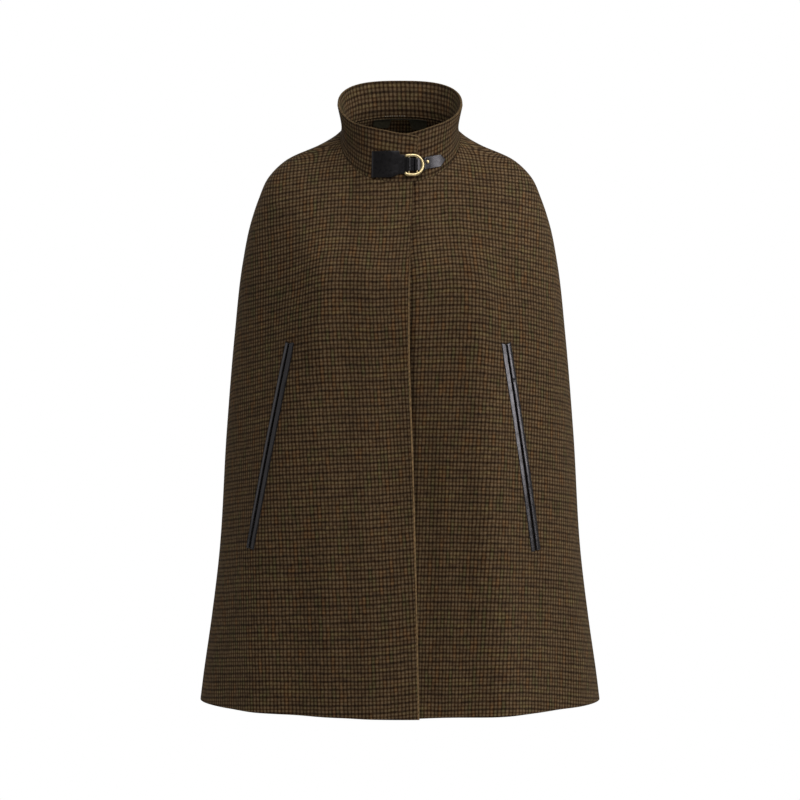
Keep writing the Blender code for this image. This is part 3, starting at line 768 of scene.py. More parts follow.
def lay_grain(grid, ways):
    """Weave places (u, v) in metres on a grid, from the directions in which they grow."""
    rows, columns = grid.shape[:2]
    across, down = np.gradient(grid, axis=1), np.gradient(grid, axis=0)
    index = np.arange(rows * columns).reshape(rows, columns)
    stretch = np.linalg.norm(down, axis=2).mean() / np.linalg.norm(across, axis=2).mean()
    goal = np.zeros((rows * columns, 2))
    links = []
    for a, b, weight in ((np.s_[:, :-1], np.s_[:, 1:], stretch), (np.s_[:-1], np.s_[1:], 1 / stretch)):
        i, j = index[a].ravel(), index[b].ravel()
        step = (grid[b] - grid[a])[..., None] * (ways[a] + ways[b]) / 2
        step = weight * step.sum(2).reshape(-1, 2)
        np.add.at(goal, j, step)
        np.add.at(goal, i, -step)
        links.append((i, j, weight))
    return np.linalg.solve(spring_matrix(rows * columns, links), goal).reshape(rows, columns, 2)


# Cloth pieces

# Soft drapes that the cloth takes on over its solid, in the same terms as the main folds
DRAPES = (
    ("right", 0.16, 0.25, 0.34, 0.46, 0.102, 0.102, 0.022, 0.0034),
    ("right", 0.40, 0.60, 1.10, 1.20, -0.020, -0.024, 0.030, 0.0036),
    ("right", 0.62, 0.92, 1.10, 1.20, 0.062, 0.060, 0.024, -0.0020),
    ("left", 0.16, 0.25, 0.34, 0.46, 0.110, 0.110, 0.022, 0.0030),
    ("left", 0.36, 0.56, 1.10, 1.20, 0.022, 0.026, 0.027, -0.0080),
    ("left", 0.42, 0.60, 1.10, 1.20, 0.060, 0.064, 0.020, 0.0036),
    ("left", 0.38, 0.55, 1.10, 1.20, 0.112, 0.125, 0.032, 0.0045),
)

# Small creases on the fronts, each along a line from one spot to another
# panel, share_a, place_a, share_b, place_b, half_width, height
CREASES = (
    ("right", 0.030, 0.030, 0.150, 0.075, 0.010, -0.0012),
    ("right", 0.060, 0.000, 0.200, 0.020, 0.009, -0.0008),
    ("right", 0.210, 0.090, 0.330, 0.128, 0.009, -0.0012),
    ("right", 0.250, 0.055, 0.420, 0.070, 0.012, 0.0010),
    ("right", 0.420, 0.030, 0.640, 0.036, 0.010, -0.0010),
    ("right", 0.560, 0.090, 0.830, 0.098, 0.013, 0.0013),
    ("right", 0.720, 0.205, 0.860, 0.214, 0.010, -0.0014),
    ("left", 0.030, 0.035, 0.160, 0.080, 0.010, -0.0012),
    ("left", 0.120, 0.020, 0.260, 0.012, 0.009, -0.0009),
    ("left", 0.220, 0.095, 0.350, 0.124, 0.009, -0.0012),
    ("left", 0.330, 0.060, 0.520, 0.064, 0.011, 0.0009),
    ("left", 0.520, 0.100, 0.800, 0.112, 0.013, 0.0012),
    ("left", 0.730, 0.190, 0.880, 0.198, 0.010, -0.0014),
    ("left", 0.600, 0.030, 0.900, 0.034, 0.012, -0.0010),
)
# Share of a crease's length over which each of its ends fades
CREASE_FADE = 0.4

# The stitched line beside the upper front's edge, with its two dimples and the bead of the edge
PLACKET = 0.0355
PLACKET_SHARES = (0.20, 0.26, 0.62, 0.72)
PLACKET_DEPTH = 0.0005
PLACKET_HALF = 0.0015
DIMPLE_SHARES = (0.402, 0.633)
DIMPLE_DEPTH = 0.0013
DIMPLE_HALF = 0.0055
BEAD_HEIGHT = 0.0008
BEAD_HALF = 0.0040
# The groove under that edge on the lower front: depth, the part of it at the neck, where it grows, half width
HOLLOW_DEPTH = 0.0026
HOLLOW_LEAST = 0.6
HOLLOW_GROWS = (0.16, 0.30)
HOLLOW_HALF = 0.0036


def row_shares():
    shares = [0.0]
    for start, end, steps in ROW_BANDS:
        shares += list(np.linspace(start, end, steps + 1)[1:])
    return np.array(shares)


def crease_height(panel, share, place):
    """Sum of the small creases of a front at distances from the centre front."""
    total = np.zeros(len(place))
    for name, share_a, place_a, share_b, place_b, width, height in CREASES:
        if name != panel:
            continue
        way = np.array((CAPE_LENGTH * (share_b - share_a), place_b - place_a))
        length = np.linalg.norm(way)
        way /= length
        down, out = CAPE_LENGTH * (share - share_a), place - place_a
        along = (down * way[0] + out * way[1]) / length
        aside = out * way[0] - down * way[1]
        faded = ease(along / CREASE_FADE) * ease((1 - along) / CREASE_FADE)
        total += height * np.exp(-((aside / width) ** 2)) * faded
    return total


def edge_relief(panel, share, place):
    """Height of the stitched line on the upper front, or of the groove on the lower one."""
    past = front_past("right", share)
    if panel == "left":
        start, full = HOLLOW_GROWS
        depth = HOLLOW_DEPTH * blend(HOLLOW_LEAST, 1.0, ease((share - start) / (full - start)))
        return -depth * np.exp(-(((place - past) / HOLLOW_HALF) ** 2))
    aside = place + past - PLACKET
    total = -PLACKET_DEPTH * swell(share, *PLACKET_SHARES) * np.exp(-((aside / PLACKET_HALF) ** 2))
    for spot in DIMPLE_SHARES:
        reach = (aside / DIMPLE_HALF) ** 2 + (CAPE_LENGTH * (share - spot) / DIMPLE_HALF) ** 2
        total -= DIMPLE_DEPTH * np.exp(-reach)
    return total + BEAD_HEIGHT * np.exp(-(((place + past) / BEAD_HALF) ** 2))


def front_grid(panel, rows, columns):
    """Points of a front's face on a coarse grid, rows from neck to hem, columns from edge to side seam."""
    spots = np.linspace(0.0, 1.0, columns)
    grid = []
    for share in np.linspace(0.0, 1.0, rows):
        past = front_past(panel, share)
        place = -past + (side_run(share) + SEAM_RIM + past) * spots
        grid.append(cape_row(panel, share, SIDES[panel] * place))
    return np.array(grid)


def front_cut(panel):
    """The flat cut of a front as a coarse table of (u, v), its edge straight down."""
    way = int(SIDES[panel])
    flat = flatten(front_grid(panel, *FRONT_CUT)[:, ::way])[:, ::way]
    return turned(flat, (STRAIGHT_FROM, 0), (FRONT_CUT[0] - 1, 0))


def front_grain(panel):
    """Weave places of a front as a coarse table, rows from neck to hem, columns from edge to side seam."""
    grid = front_grid(panel, *FRONT_WEAVE)
    return lay_grain(grid, weave_ways(panel, grid)) * (SIDES[panel], 1.0)


def front_panel(panel, material, rolled):
    """A front with its slit's window, and its flat size."""
    side = SIDES[panel]
    half = SLIT_WINDOW / 2
    shares = row_shares()
    grain_rows = smooth_at(front_grain(panel), shares)
    outer, normal, uv = [], [], []
    for grain, share in zip(grain_rows, shares):
        past = front_past(panel, share)
        middle = slit_place(panel, share)
        end = side_run(share) + SEAM_RIM
        place = np.concatenate([
            [-past],
            np.linspace(TURNED_STEP - past, middle - half, FRONT_COLUMNS)[:-1],
            np.linspace(middle - half, middle + half, WINDOW_COLUMNS + 1)[:-1],
            np.linspace(middle + half, end, SIDE_COLUMNS + 1)])
        face = cape_normals(panel, share, side * place)
        relief = crease_height(panel, share, place) + edge_relief(panel, share, place)
        relief += fold_height(panel, share, side * place, DRAPES)
        outer.append(cape_row(panel, share, side * place) + face * relief[:, None])
        normal.append(face)
        uv.append(smooth_at(grain, (place + past) / (end + past)))
    outer, normal, uv = np.array(outer), np.array(normal), np.array(uv)
    gone = np.zeros((len(shares) - 1, outer.shape[1] - 1), bool)
    middles = (shares[:-1] + shares[1:]) / 2
    rows = (middles > SLIT_TOP) & (middles < SLIT_BOTTOM)
    gone[np.ix_(rows, range(FRONT_COLUMNS, FRONT_COLUMNS + WINDOW_COLUMNS))] = True
    rim = np.full(outer.shape[:2], EDGE_RIM)
    rim[:, 0] = blend(EDGE_RIM, TURNED_RIM, ease((shares - TURNED_FROM) / TURNED_FROM))
    rim[0] = SEAM_RIM
    rim[:, -1] = SEAM_RIM
    item = shell(panel + "_front_cloth", outer, normal, CLOTH_WALL, uv, material, side < 0, gone, rim, rolled)
    return item, flat_size(front_cut(panel))


def back_places(share, spots):
    """Distances round the cape at spots from 0 at one side seam to 1 at the other."""
    seam = side_run(share) - SEAM_RIM
    return seam + (2 * cape_ring(share)[2][-1] - 2 * seam) * spots


def back_panel(material):
    """The back, its weave straight down its middle, and its flat size."""
    rows, columns = BACK_CUT
    coarse = np.linspace(0.0, 1.0, columns)
    grid = np.array([cape_row("back", s, back_places(s, coarse)) for s in np.linspace(0.0, 1.0, rows)])
    cut = turned(flatten(grid), (0, columns // 2), (rows - 1, columns // 2))
    shares = row_shares()
    spots = np.linspace(0.0, 1.0, BACK_COLUMNS + 1)
    outer = np.array([cape_row("back", s, back_places(s, spots)) for s in shares])
    normal = np.array([cape_normals("back", s, back_places(s, spots)) for s in shares])
    uv = np.array([smooth_at(row, spots) for row in smooth_at(cut, shares)])
    rim = np.full(outer.shape[:2], EDGE_RIM)
    rim[0] = SEAM_RIM
    rim[:, (0, -1)] = SEAM_RIM
    return shell("back_cloth", outer, normal, CLOTH_WALL, uv, material, rim=rim), flat_size(uv)


def collar_lift(place, share, upper):
    """How far the collar stands above its section at distances from the centre front."""
    return np.where(upper, curve(UPPER_LIFT, place), curve(LOWER_LIFT, place)) * max(share, 0.0) ** LIFT_FADE


def collar_grid(rows, columns):
    """Outer points of the collar from its top edge to the neck seam, lower end to upper end."""
    grid = []
    for share in np.linspace(1.0, COLLAR_FOOT, rows + 1):
        ring = collar_ring(share)
        whole = 2 * ring[2][-1]
        end = blend(COLLAR_END_BASE, COLLAR_END_TOP, share)
        run = np.linspace(-UNDER_REACH, whole + end, columns + 1)
        upper = run > whole / 2
        place = np.where(upper, run - whole, run)
        spot, outward = on_ring(ring, place)
        spot[:, 2] += collar_lift(place, share, upper)
        fill = neck_fill(spot, outward, share * COLLAR_GRAIN) - outward * (0.0 if share >= 0 else FOOT_TUCK)
        grid.append(spot + outward * np.where(upper, layer(place), 0.0)[:, None] + fill)
    return np.array(grid)


def collar(material, rolled):
    """The collar, and its flat size."""
    rows, columns = COLLAR_STEPS
    outer = collar_grid(rows, columns)
    normal = unit(np.cross(np.gradient(outer, axis=0), np.gradient(outer, axis=1)))
    middle = outer[rows // 2]
    rear = ease(0.5 + 0.5 * middle[:, 1] / COLLAR_RINGS[0][3])
    steps = np.linalg.norm(np.diff(middle, axis=0), axis=1) * blend(*COLLAR_WIDE, rear)[1:]
    shares = np.linspace(1.0, COLLAR_FOOT, rows + 1)[:, None]
    uv = np.empty((rows + 1, columns + 1, 2))
    uv[..., 0] = np.concatenate([[0.0], np.cumsum(steps)])
    uv[..., 1] = COLLAR_CHECK - (1 - shares) * blend(*COLLAR_TALL, rear)
    rim = np.full(outer.shape[:2], COLLAR_RIM)
    rim[-1] = SEAM_RIM
    wall = blend(COLLAR_WALL, CLOTH_WALL, 1 - ease(shares / COLLAR_THIN))
    item = shell("collar_cloth", outer, normal, wall, uv, material, rim=rim, rolled=rolled)
    rows, columns = COLLAR_CUT
    cut = flatten(collar_grid(rows, columns))
    return item, flat_size(turned(cut, (0, columns // 2), (rows, columns // 2)))


# Arm slits

# Leather lips: how far each laps onto the cloth, crown height, foot depth, the length over which an end
# rounds off and the part of the height left there, and mesh steps along and across
LIP_LAP = 0.0012
LIP_CROWN = 0.0014
LIP_FOOT = 0.0016
LIP_ROUND = 0.0018
LIP_END = 0.25
LIP_STEPS = (241, 23)
# Where the level crown starts and stops across the lip from the gap, at its top and bottom end
LIP_TOP = {"inner": (0.14, 0.92), "outer": (0.10, 0.38)}
LIP_LOW = {"inner": (0.42, 0.88), "outer": (0.10, 0.34)}
# Ripples along a lip: waves along it, height. Each lip starts them at its own place
RIPPLES = ((3.1, 0.00012), (5.7, 0.00009), (9.4, 0.00005), (23.0, 0.00002))
RIPPLE_STARTS = {"right": 3.0, "left": 7.0, "inner": 0.0, "outer": 1.7}
# A nick in one lip: share along it, half width as a share, depth, and how far it runs askew
NICKED = ("left", "outer")
NICK = (0.185, 0.006, 0.0009, 0.012)
# The inner lip's top runs up to stand level with the outer one's: rise, its part at the gap, and the share of
# the lip over which it fades
LIP_RISE = 0.0047
LIP_RISE_LEAST = 0.2
LIP_RISE_REACH = 0.07
# The groove that parts one lip from the cloth: where it starts and is full across the lip, depth
GROOVED = ("right", "outer")
GROOVE = (0.60, 0.80, 0.0014)
# Gloss of each lip
LIP_GLOSS = {"right_inner": 0.40, "right_outer": 0.70, "left_inner": 1.0, "left_outer": 1.0}


def lip_height(panel, which, along, across):
    """Height of a lip's face over the cloth at a share along it and shares across it."""
    start, stop = (blend(top, low, along) for top, low in zip(LIP_TOP[which], LIP_LOW[which]))
    reach = np.maximum(np.maximum((start - across) / start, (across - stop) / (1 - stop)), 0.0)
    inside = 4 * across * (1 - across)
    first = RIPPLE_STARTS[panel] + RIPPLE_STARTS[which]
    ripple = sum(h * math.sin(2 * math.pi * w * along + first * k) for k, (w, h) in enumerate(RIPPLES, 1))
    height = (LIP_CROWN + ripple * inside) * (1 - reach ** 2.0)
    if (panel, which) == NICKED:
        spot, half, depth, askew = NICK
        skew = (along - spot - askew * (across - 0.5)) / half
        height = height - depth * np.exp(-(skew ** 2)) * inside
    if (panel, which) == GROOVED:
        start, full, depth = GROOVE
        height = height - depth * ease((across - start) / (full - start))
    return height


def slit_lip(panel, which, material):
    """One soft leather lip of an arm slit."""
    side = SIDES[panel]
    way = -1.0 if which == "inner" else 1.0
    near, far = SLIT_OPEN / 2, SLIT_WINDOW / 2 + LIP_LAP
    end_gap = SEAM_GAP / CAPE_LENGTH
    length = SLIT_BOTTOM - SLIT_TOP
    across = 0.5 - 0.5 * np.cos(np.linspace(0.0, math.pi, LIP_STEPS[1]))
    round_trip = np.concatenate([across, across[::-1][1:-1]])
    foot = np.full(len(across) - 2, -LIP_FOOT)
    sections = []
    for share in np.linspace(SLIT_TOP + end_gap, SLIT_BOTTOM - end_gap, LIP_STEPS[0]):
        along = (share - SLIT_TOP) / length
        to_end = min(along, 1 - along) * length * CAPE_LENGTH
        bow = math.sqrt(max(0.0, 1 - max(0.0, 1 - to_end / LIP_ROUND) ** 2))
        rise = np.concatenate([lip_height(panel, which, along, across), foot]) * blend(LIP_END, 1.0, bow)
        place = side * (slit_place(panel, share) + way * blend(near, far, round_trip))
        spot = cape_row(panel, share, place)
        if which == "inner" and along < LIP_RISE_REACH:
            above = cape_row(panel, share - LIP_RISE / CAPE_LENGTH, place)
            lift = blend(LIP_RISE_LEAST, 1.0, round_trip) * (1 - ease(along / LIP_RISE_REACH))
            spot += (above - spot) * lift[:, None]
        sections.append(spot + cape_normals(panel, share, place) * rise[:, None])
    turn = -1 if side * way > 0 else 1
    return swept(f"slit_{panel}_{which}_leather", np.array(sections)[:, ::turn], material)


# Strap fastening

# Steps of the table of the collar's face: places round it, heights, and shares up its cloth
COLLAR_PLACES = np.linspace(-0.060, 0.085, 146)
COLLAR_HEIGHTS = np.linspace(-0.078, -0.012, 67)
COLLAR_SHARES = np.linspace(0.0, 1.0, 31)


def collar_table():
    """Face points and outward directions of the upper collar layer by place and height."""
    rows = []
    for share in COLLAR_SHARES:
        spot, outward = on_ring(collar_ring(share), COLLAR_PLACES)
        spot[:, 2] += collar_lift(COLLAR_PLACES, share, COLLAR_PLACES < COLLAR_END_TOP)
        face = spot + outward * LAYER_STEP + neck_fill(spot, outward, share * COLLAR_GRAIN)
        rows.append(np.concatenate([face, outward], axis=1))
    rows = np.array(rows)
    table = np.empty((len(COLLAR_PLACES), len(COLLAR_HEIGHTS), 6))
    for p in range(len(COLLAR_PLACES)):
        for k in range(6):
            table[p, :, k] = np.interp(COLLAR_HEIGHTS, rows[:, p, 2], rows[:, p, k])
    return table


COLLAR_TABLE = collar_table()


def on_collar(place, height, lift):
    """Points on the upper collar layer's face at places, heights and lifts."""
    place, height, lift = np.broadcast_arrays(np.asarray(place, float), height, lift)
    steps = []
    for value, grid in ((place, COLLAR_PLACES), (height, COLLAR_HEIGHTS)):
        at = np.clip((value - grid[0]) / (grid[1] - grid[0]), 0, len(grid) - 1.001)
        steps += [at.astype(int), (at - at.astype(int))[..., None]]
    i, s, j, t = steps
    top = COLLAR_TABLE[i, j] * (1 - s) + COLLAR_TABLE[i + 1, j] * s
    low = COLLAR_TABLE[i, j + 1] * (1 - s) + COLLAR_TABLE[i + 1, j + 1] * s
    both = top * (1 - t) + low * t
    return both[..., :3] + both[..., 3:] * lift[..., None]


def loop_path(centre, first, last):
    """(place, lift) steps of a loop round a crossbar."""
    reach = BAR_RADIUS + SEAM_GAP + LEATHER_WALL / 2
    angles = np.radians(np.linspace(first, last, 25))
    return [(centre + reach * math.sin(a), BAR_LIFT + reach * math.cos(a)) for a in angles]


def strap(name, path, widths, material):
    """A leather strip with round edges along (place, lift) steps, each with a low and a high edge."""
    path = np.array(path)
    way = unit(np.gradient(path, axis=0))
    half = LEATHER_WALL / 2
    arc = np.linspace(0.0, math.pi / 2, 5)
    tall = np.concatenate([half * np.cos(arc[::-1]), np.full(7, half), half * np.cos(arc)])
    tall = np.concatenate([tall, -tall[::-1][1:-1]])
    sections = []
    for (place, lift), (along, up), (low, high) in zip(path, way, widths):
        soft = min(STRAP_SOFT, (high - low) / 2.2)
        inside = np.linspace(low + soft, high - soft, 9)[1:-1]
        heights = np.concatenate([
            high - soft + soft * np.sin(arc[::-1]), inside[::-1], low + soft - soft * np.sin(arc)])
        heights = np.concatenate([heights, heights[::-1][1:-1]])
        sections.append(on_collar(place - up * tall, heights, lift + along * tall))
    return swept(name, np.array(sections)[:, ::-1], material)


def strap_base(material):
    """The base patch, the strap cut in one with it, and the loop round the first crossbar."""
    top, low = STRAP_Z + BASE_TOP, STRAP_Z - BASE_LOW
    path, widths = [], []
    for place in np.linspace(BASE_LEFT, BASE_RIGHT - BASE_CUT, 60):
        roll = max(0.0, 1 - (place - BASE_LEFT) / BASE_ROLL_REACH) ** 2
        path.append((place, FLAT_LIFT - BASE_ROLL * roll + BASE_ROLL))
        widths.append((low, top))
    for cut in np.linspace(0.0, 1.0, 9)[1:]:
        path.append((BASE_RIGHT - BASE_CUT + cut * BASE_CUT, FLAT_LIFT + BASE_ROLL * (1 - ease(cut))))
        widths.append((low + cut * (BASE_LOW - STRAP_HALF), top))
    for place, half in ((BASE_RIGHT + STRAP_STEP, STRAP_HALF), (STRAP_END, STRAP_HALF),
                        (STRAP_END + STRAP_STEP, LOOP_HALF)):
        path.append((place, FLAT_LIFT))
        widths.append((STRAP_Z - half, STRAP_Z + half))
    wrap = loop_path(BASE_BAR, *BASE_LOOP)
    loop = (STRAP_Z - LOOP_HALF, STRAP_Z + LOOP_HALF)
    item = strap("strap_base_leather", path + wrap, widths + [loop] * len(wrap), material)
    under = [(place, FLAT_LIFT) for place in np.linspace(*LOOP_END, 12)]
    return join("strap_base_leather", [item, strap("loop_end", under, [loop] * len(under), material)])


def tail_middle(place):
    """Height of the tail's middle line, which rises past the ring."""
    return STRAP_Z + TAIL_RISE * (place - TAIL_BAR) / (TAIL_TIP - TAIL_BAR)


def strap_tail(material):
    """The tail from its loop round the second crossbar to its point."""
    path = loop_path(TAIL_BAR, *TAIL_LOOP) + [(TAIL_BAR + place, lift) for place, lift in TAIL_DROP]
    widths = [(STRAP_Z - TAIL_HALF, STRAP_Z + TAIL_HALF)] * len(path)
    straight = np.linspace(TAIL_UNDER_ARC, TAIL_SHOULDER, 24)
    for place in (*straight, *np.linspace(TAIL_SHOULDER, TAIL_TIP, 9)[1:]):
        point = max(0.0, (place - TAIL_SHOULDER) / (TAIL_TIP - TAIL_SHOULDER))
        half = blend(TAIL_HALF, TAIL_TIP_HALF, point)
        path.append((place, TAIL_LIFT))
        widths.append((tail_middle(place) - half, tail_middle(place) + half))
    return strap("strap_tail_leather", path, widths, material)


def d_ring(material):
    """A D-shaped bar, open at its straight side, with round ends and two crossbars."""
    centre = RING_RIGHT - RING_REACH
    bow = [(centre + RING_REACH * math.cos(a), RING_HALF * math.sin(a))
           for a in np.radians(np.linspace(-90.0, 90.0, 61))]
    spots = np.array([*RING_LOW_END, *bow, *RING_TOP_END])
    run = run_along(spots)
    ends = RING_ROUND * (1 - np.cos(np.linspace(0.0, math.pi / 2, 6)))
    length = run[-1]
    at = np.concatenate([ends[:-1], np.linspace(ends[-1], length - ends[-1], 110), length - ends[:-1][::-1]])
    place, height = (np.interp(at, run, spots[:, k]) for k in range(2))
    reach = np.clip(np.minimum(at, length - at) / RING_ROUND, 0, 1)
    radius = RING_RADIUS * np.sqrt(np.clip(1 - (1 - reach) ** 2, 0.02, 1))
    pieces = [swept("d_ring_brass", tube(on_collar(place, RING_Z + height, BAR_LIFT), radius), material)]
    for place in (BASE_BAR, TAIL_BAR):
        along = max(0.0, place - centre) / RING_REACH
        half = RING_HALF * math.sqrt(1 - along ** 2)
        bar = tube(on_collar(place, RING_Z + np.linspace(-half, half, 12), BAR_LIFT), BAR_RADIUS)
        pieces.append(swept("bar", bar, material))
    return join("d_ring_brass", pieces)


def stud(material):
    """A low domed head on the strap's tail."""
    height = tail_middle(STUD_PLACE) + STUD_RISE
    foot = TAIL_LIFT + LEATHER_WALL / 2 + SEAM_GAP
    start = on_collar(STUD_PLACE, height, foot)
    way = on_collar(STUD_PLACE, height, foot + STUD_HEIGHT) - start
    dome = np.linspace(0.15, math.pi / 2, 8)
    path = start + way * np.concatenate([[0.0, 0.25], 0.25 + 0.75 * np.sin(dome)])[:, None]
    size = np.concatenate([[0.92, 1.0], np.cos(dome) ** 0.8 + 0.01])
    way = unit(way)
    across = unit(np.cross(way, (0.0, 0.0, 1.0)))
    angle = np.linspace(0.0, 2 * math.pi, 28, endpoint=False)[:, None]
    disc = STUD_RADIUS * (np.cos(angle) * across + np.sin(angle) * np.cross(way, across))
    return swept("stud_brass", [spot + share * disc for spot, share in zip(path, size)], material)


# Neck label

# The label starts at the seam and swells out there to meet the collar: start, swell, reach of the swell
LABEL_SEAM = 0.0004
LABEL_SWELL = (0.0015, 0.0045)
# A notch parts it into two lobes: half width at its top and lower down, how far down that is, and the drop of
# its top below LABEL_TOP
NOTCH_HALVES = (0.0120, 0.0150)
NOTCH_REACH = 0.0090
NOTCH_DROP = -0.0018
# Drop of each lobe's lower edge below LABEL_TOP, and how its outer corner rises: from where, over what width,
# how far
LOBE_DROPS = (0.0115, 0.0145)
LOBE_CORNER = (0.028, 0.010, 0.004)
# Stitches that hold it, on the collar's foot: first and last place from the middle, count, length, radius
STITCHES = (-0.0205, 0.0060, 9, 0.0019, 0.00042)
STITCH_SHARE = 0.022


def neck_label(material):
    """A bare satin label inside the back of the neck."""
    shares = np.linspace(LABEL_SEAM, LABEL_BOTTOM, 52) / CAPE_LENGTH
    run = np.linspace(-LABEL_WIDTH / 2, LABEL_WIDTH / 2, 111)
    outer, normal, uv = [], [], []
    for share in shares:
        place = cape_ring(share)[2][-1] + run
        face = cape_normals("back", share, place)
        out = LABEL_SWELL[0] * (1 - ease(share * CAPE_LENGTH / LABEL_SWELL[1]))
        outer.append(cape_row("back", share, place) - (CLOTH_WALL + SEAM_GAP + out) * face)
        normal.append(face)
        uv.append(np.stack([run, np.full(len(run), -share * CAPE_LENGTH)], 1))
    drop = ((shares[:-1] + shares[1:]) / 2 * CAPE_LENGTH - LABEL_TOP)[:, None]
    aside = ((run[:-1] + run[1:]) / 2)[None]
    half = blend(*NOTCH_HALVES, (drop - NOTCH_DROP) / NOTCH_REACH)
    start, width, rise = LOBE_CORNER
    low = np.where(aside > 0, *LOBE_DROPS) - rise * ease((np.abs(aside) - start) / width)
    gone = (drop > low) | ((drop > NOTCH_DROP) & (np.abs(aside) < half))
    return shell("neck_label_satin", np.array(outer), np.array(normal), LABEL_WALL, np.array(uv), material,
                 gone=gone, rim=SEAM_RIM)


def label_stitches(material):
    """A short row of stitches at the label's top."""
    first, last, count, length, radius = STITCHES
    ring = collar_ring(STITCH_SHARE)
    reach = np.linspace(-1.0, 1.0, 7)
    items = []
    for k, spot in enumerate(np.linspace(first, last, count)):
        run = ring[2][-1] - spot + reach * length / 2 * (1.0 + 0.2 * math.sin(5.0 * k))
        path, outward = on_ring(ring, run)
        path += neck_fill(path, outward, STITCH_SHARE * COLLAR_GRAIN) - (CLOTH_WALL + radius) * outward
        ends = np.sqrt(np.clip(1 - reach ** 4, 0.05, 1))
        items.append(swept(f"stitch_{k}", tube(path, radius * ends, 8), material))
    return join("neck_label_stitches", items)


# Materials

class Nodes:
    """Short ways to add shader nodes."""

    def __init__(self, name):
        self.material = bpy.data.materials.new(name)
        self.material.use_nodes = True
        self.tree = self.material.node_tree
        self.shader = next(n for n in self.tree.nodes if n.type == "BSDF_PRINCIPLED")

    def add(self, kind, inputs=(), **settings):
        node = self.tree.nodes.new(kind)
        for key, value in settings.items():
            setattr(node, key, value)
        for key, value in dict(inputs).items():
            if isinstance(value, bpy.types.NodeSocket):
                self.tree.links.new(value, node.inputs[key])
            else:
                node.inputs[key].default_value = value
        return node

    def place(self):
        return self.add("ShaderNodeTexCoord").outputs["Object"]

    def grain(self):
        return self.add("ShaderNodeUVMap", uv_map="grain").outputs[0]

    def math(self, kind, a, b=0.0, c=0.0):
        return self.add("ShaderNodeMath", {0: a, 1: b, 2: c}, operation=kind).outputs[0]

    def mix(self, factor, a, b, kind="MIX"):
        node = self.add("ShaderNodeMix", {0: factor, 6: a, 7: b}, data_type="RGBA", blend_type=kind)
        return node.outputs[2]

    def shade(self, tint, value):
        grey = self.add("ShaderNodeCombineColor", {0: value, 1: value, 2: value}).outputs[0]
        return self.mix(1.0, tint, grey, "MULTIPLY")

    def span(self, value, a, b, low, high, kind="SMOOTHSTEP"):
        inputs = {"Value": value, "From Min": a, "From Max": b, "To Min": low, "To Max": high}
        return self.add("ShaderNodeMapRange", inputs, interpolation_type=kind).outputs[0]

    def noise(self, vector, scale, detail=2.0, rough=0.5, kind="Fac"):
        inputs = {"Vector": vector, "Scale": scale, "Detail": detail, "Roughness": rough}
        return self.add("ShaderNodeTexNoise", inputs).outputs[kind]

    def spot(self, x, y, z):
        return self.add("ShaderNodeCombineXYZ", {0: x, 1: y, 2: z}).outputs[0]

    def bump(self, strength, distance, height):
        node = self.add("ShaderNodeBump", {"Strength": strength, "Distance": distance, "Height": height})
        self.link(node.outputs[0], "Normal")

    def link(self, value, name):
        self.tree.links.new(value, self.shader.inputs[name])

    def set(self, **values):
        for name, value in values.items():
            self.shader.inputs[name.replace("_", " ")].default_value = value


def colour(*rgb, tone=1.0):
    return (*(tone * c for c in rgb), 1.0)


# Check of the cloth: steps of its upright and level lines and of its twill, metres, and its yarns
UPRIGHT = 0.00490
LEVEL = 0.01080
TWILL = 0.0011
GROUND = (0.164, 0.109, 0.058)
RUST = (0.198, 0.107, 0.044)
OLIVE = (0.126, 0.109, 0.046)
STRAW = (0.196, 0.144, 0.064)
BROWN = (0.112, 0.069, 0.040)
# What dark lines leave of the ground, in two dyes
UPRIGHT_DARK = ((0.27, 0.18, 0.10), (0.23, 0.17, 0.13))
LEVEL_DARK = ((0.24, 0.16, 0.09), (0.20, 0.15, 0.11))
BETWEEN_DARK = ((0.36, 0.26, 0.16), (0.43, 0.32, 0.19))
# The edge that rolls over, its darkest and lightest tone, and its painted highlight: a tone that grows from
# one height down to another, dim up high and lighter lower down
ROLLED = (0.176, 0.112, 0.052)
ROLLED_TONES = (0.45, 1.40)
ROLLED_HIGHLIGHT = (-0.17, -0.30, 0.66, 1.20)
# The collar's wool is a darker copy of the same cloth: painted shade
COLLAR_SHADE = 0.84
WOOL_FINISH = {"Roughness": 0.92, "Sheen_Weight": 0.08, "Sheen_Roughness": 0.45,
               "Sheen_Tint": colour(0.80, 0.64, 0.42), "Specular_IOR_Level": 0.13}


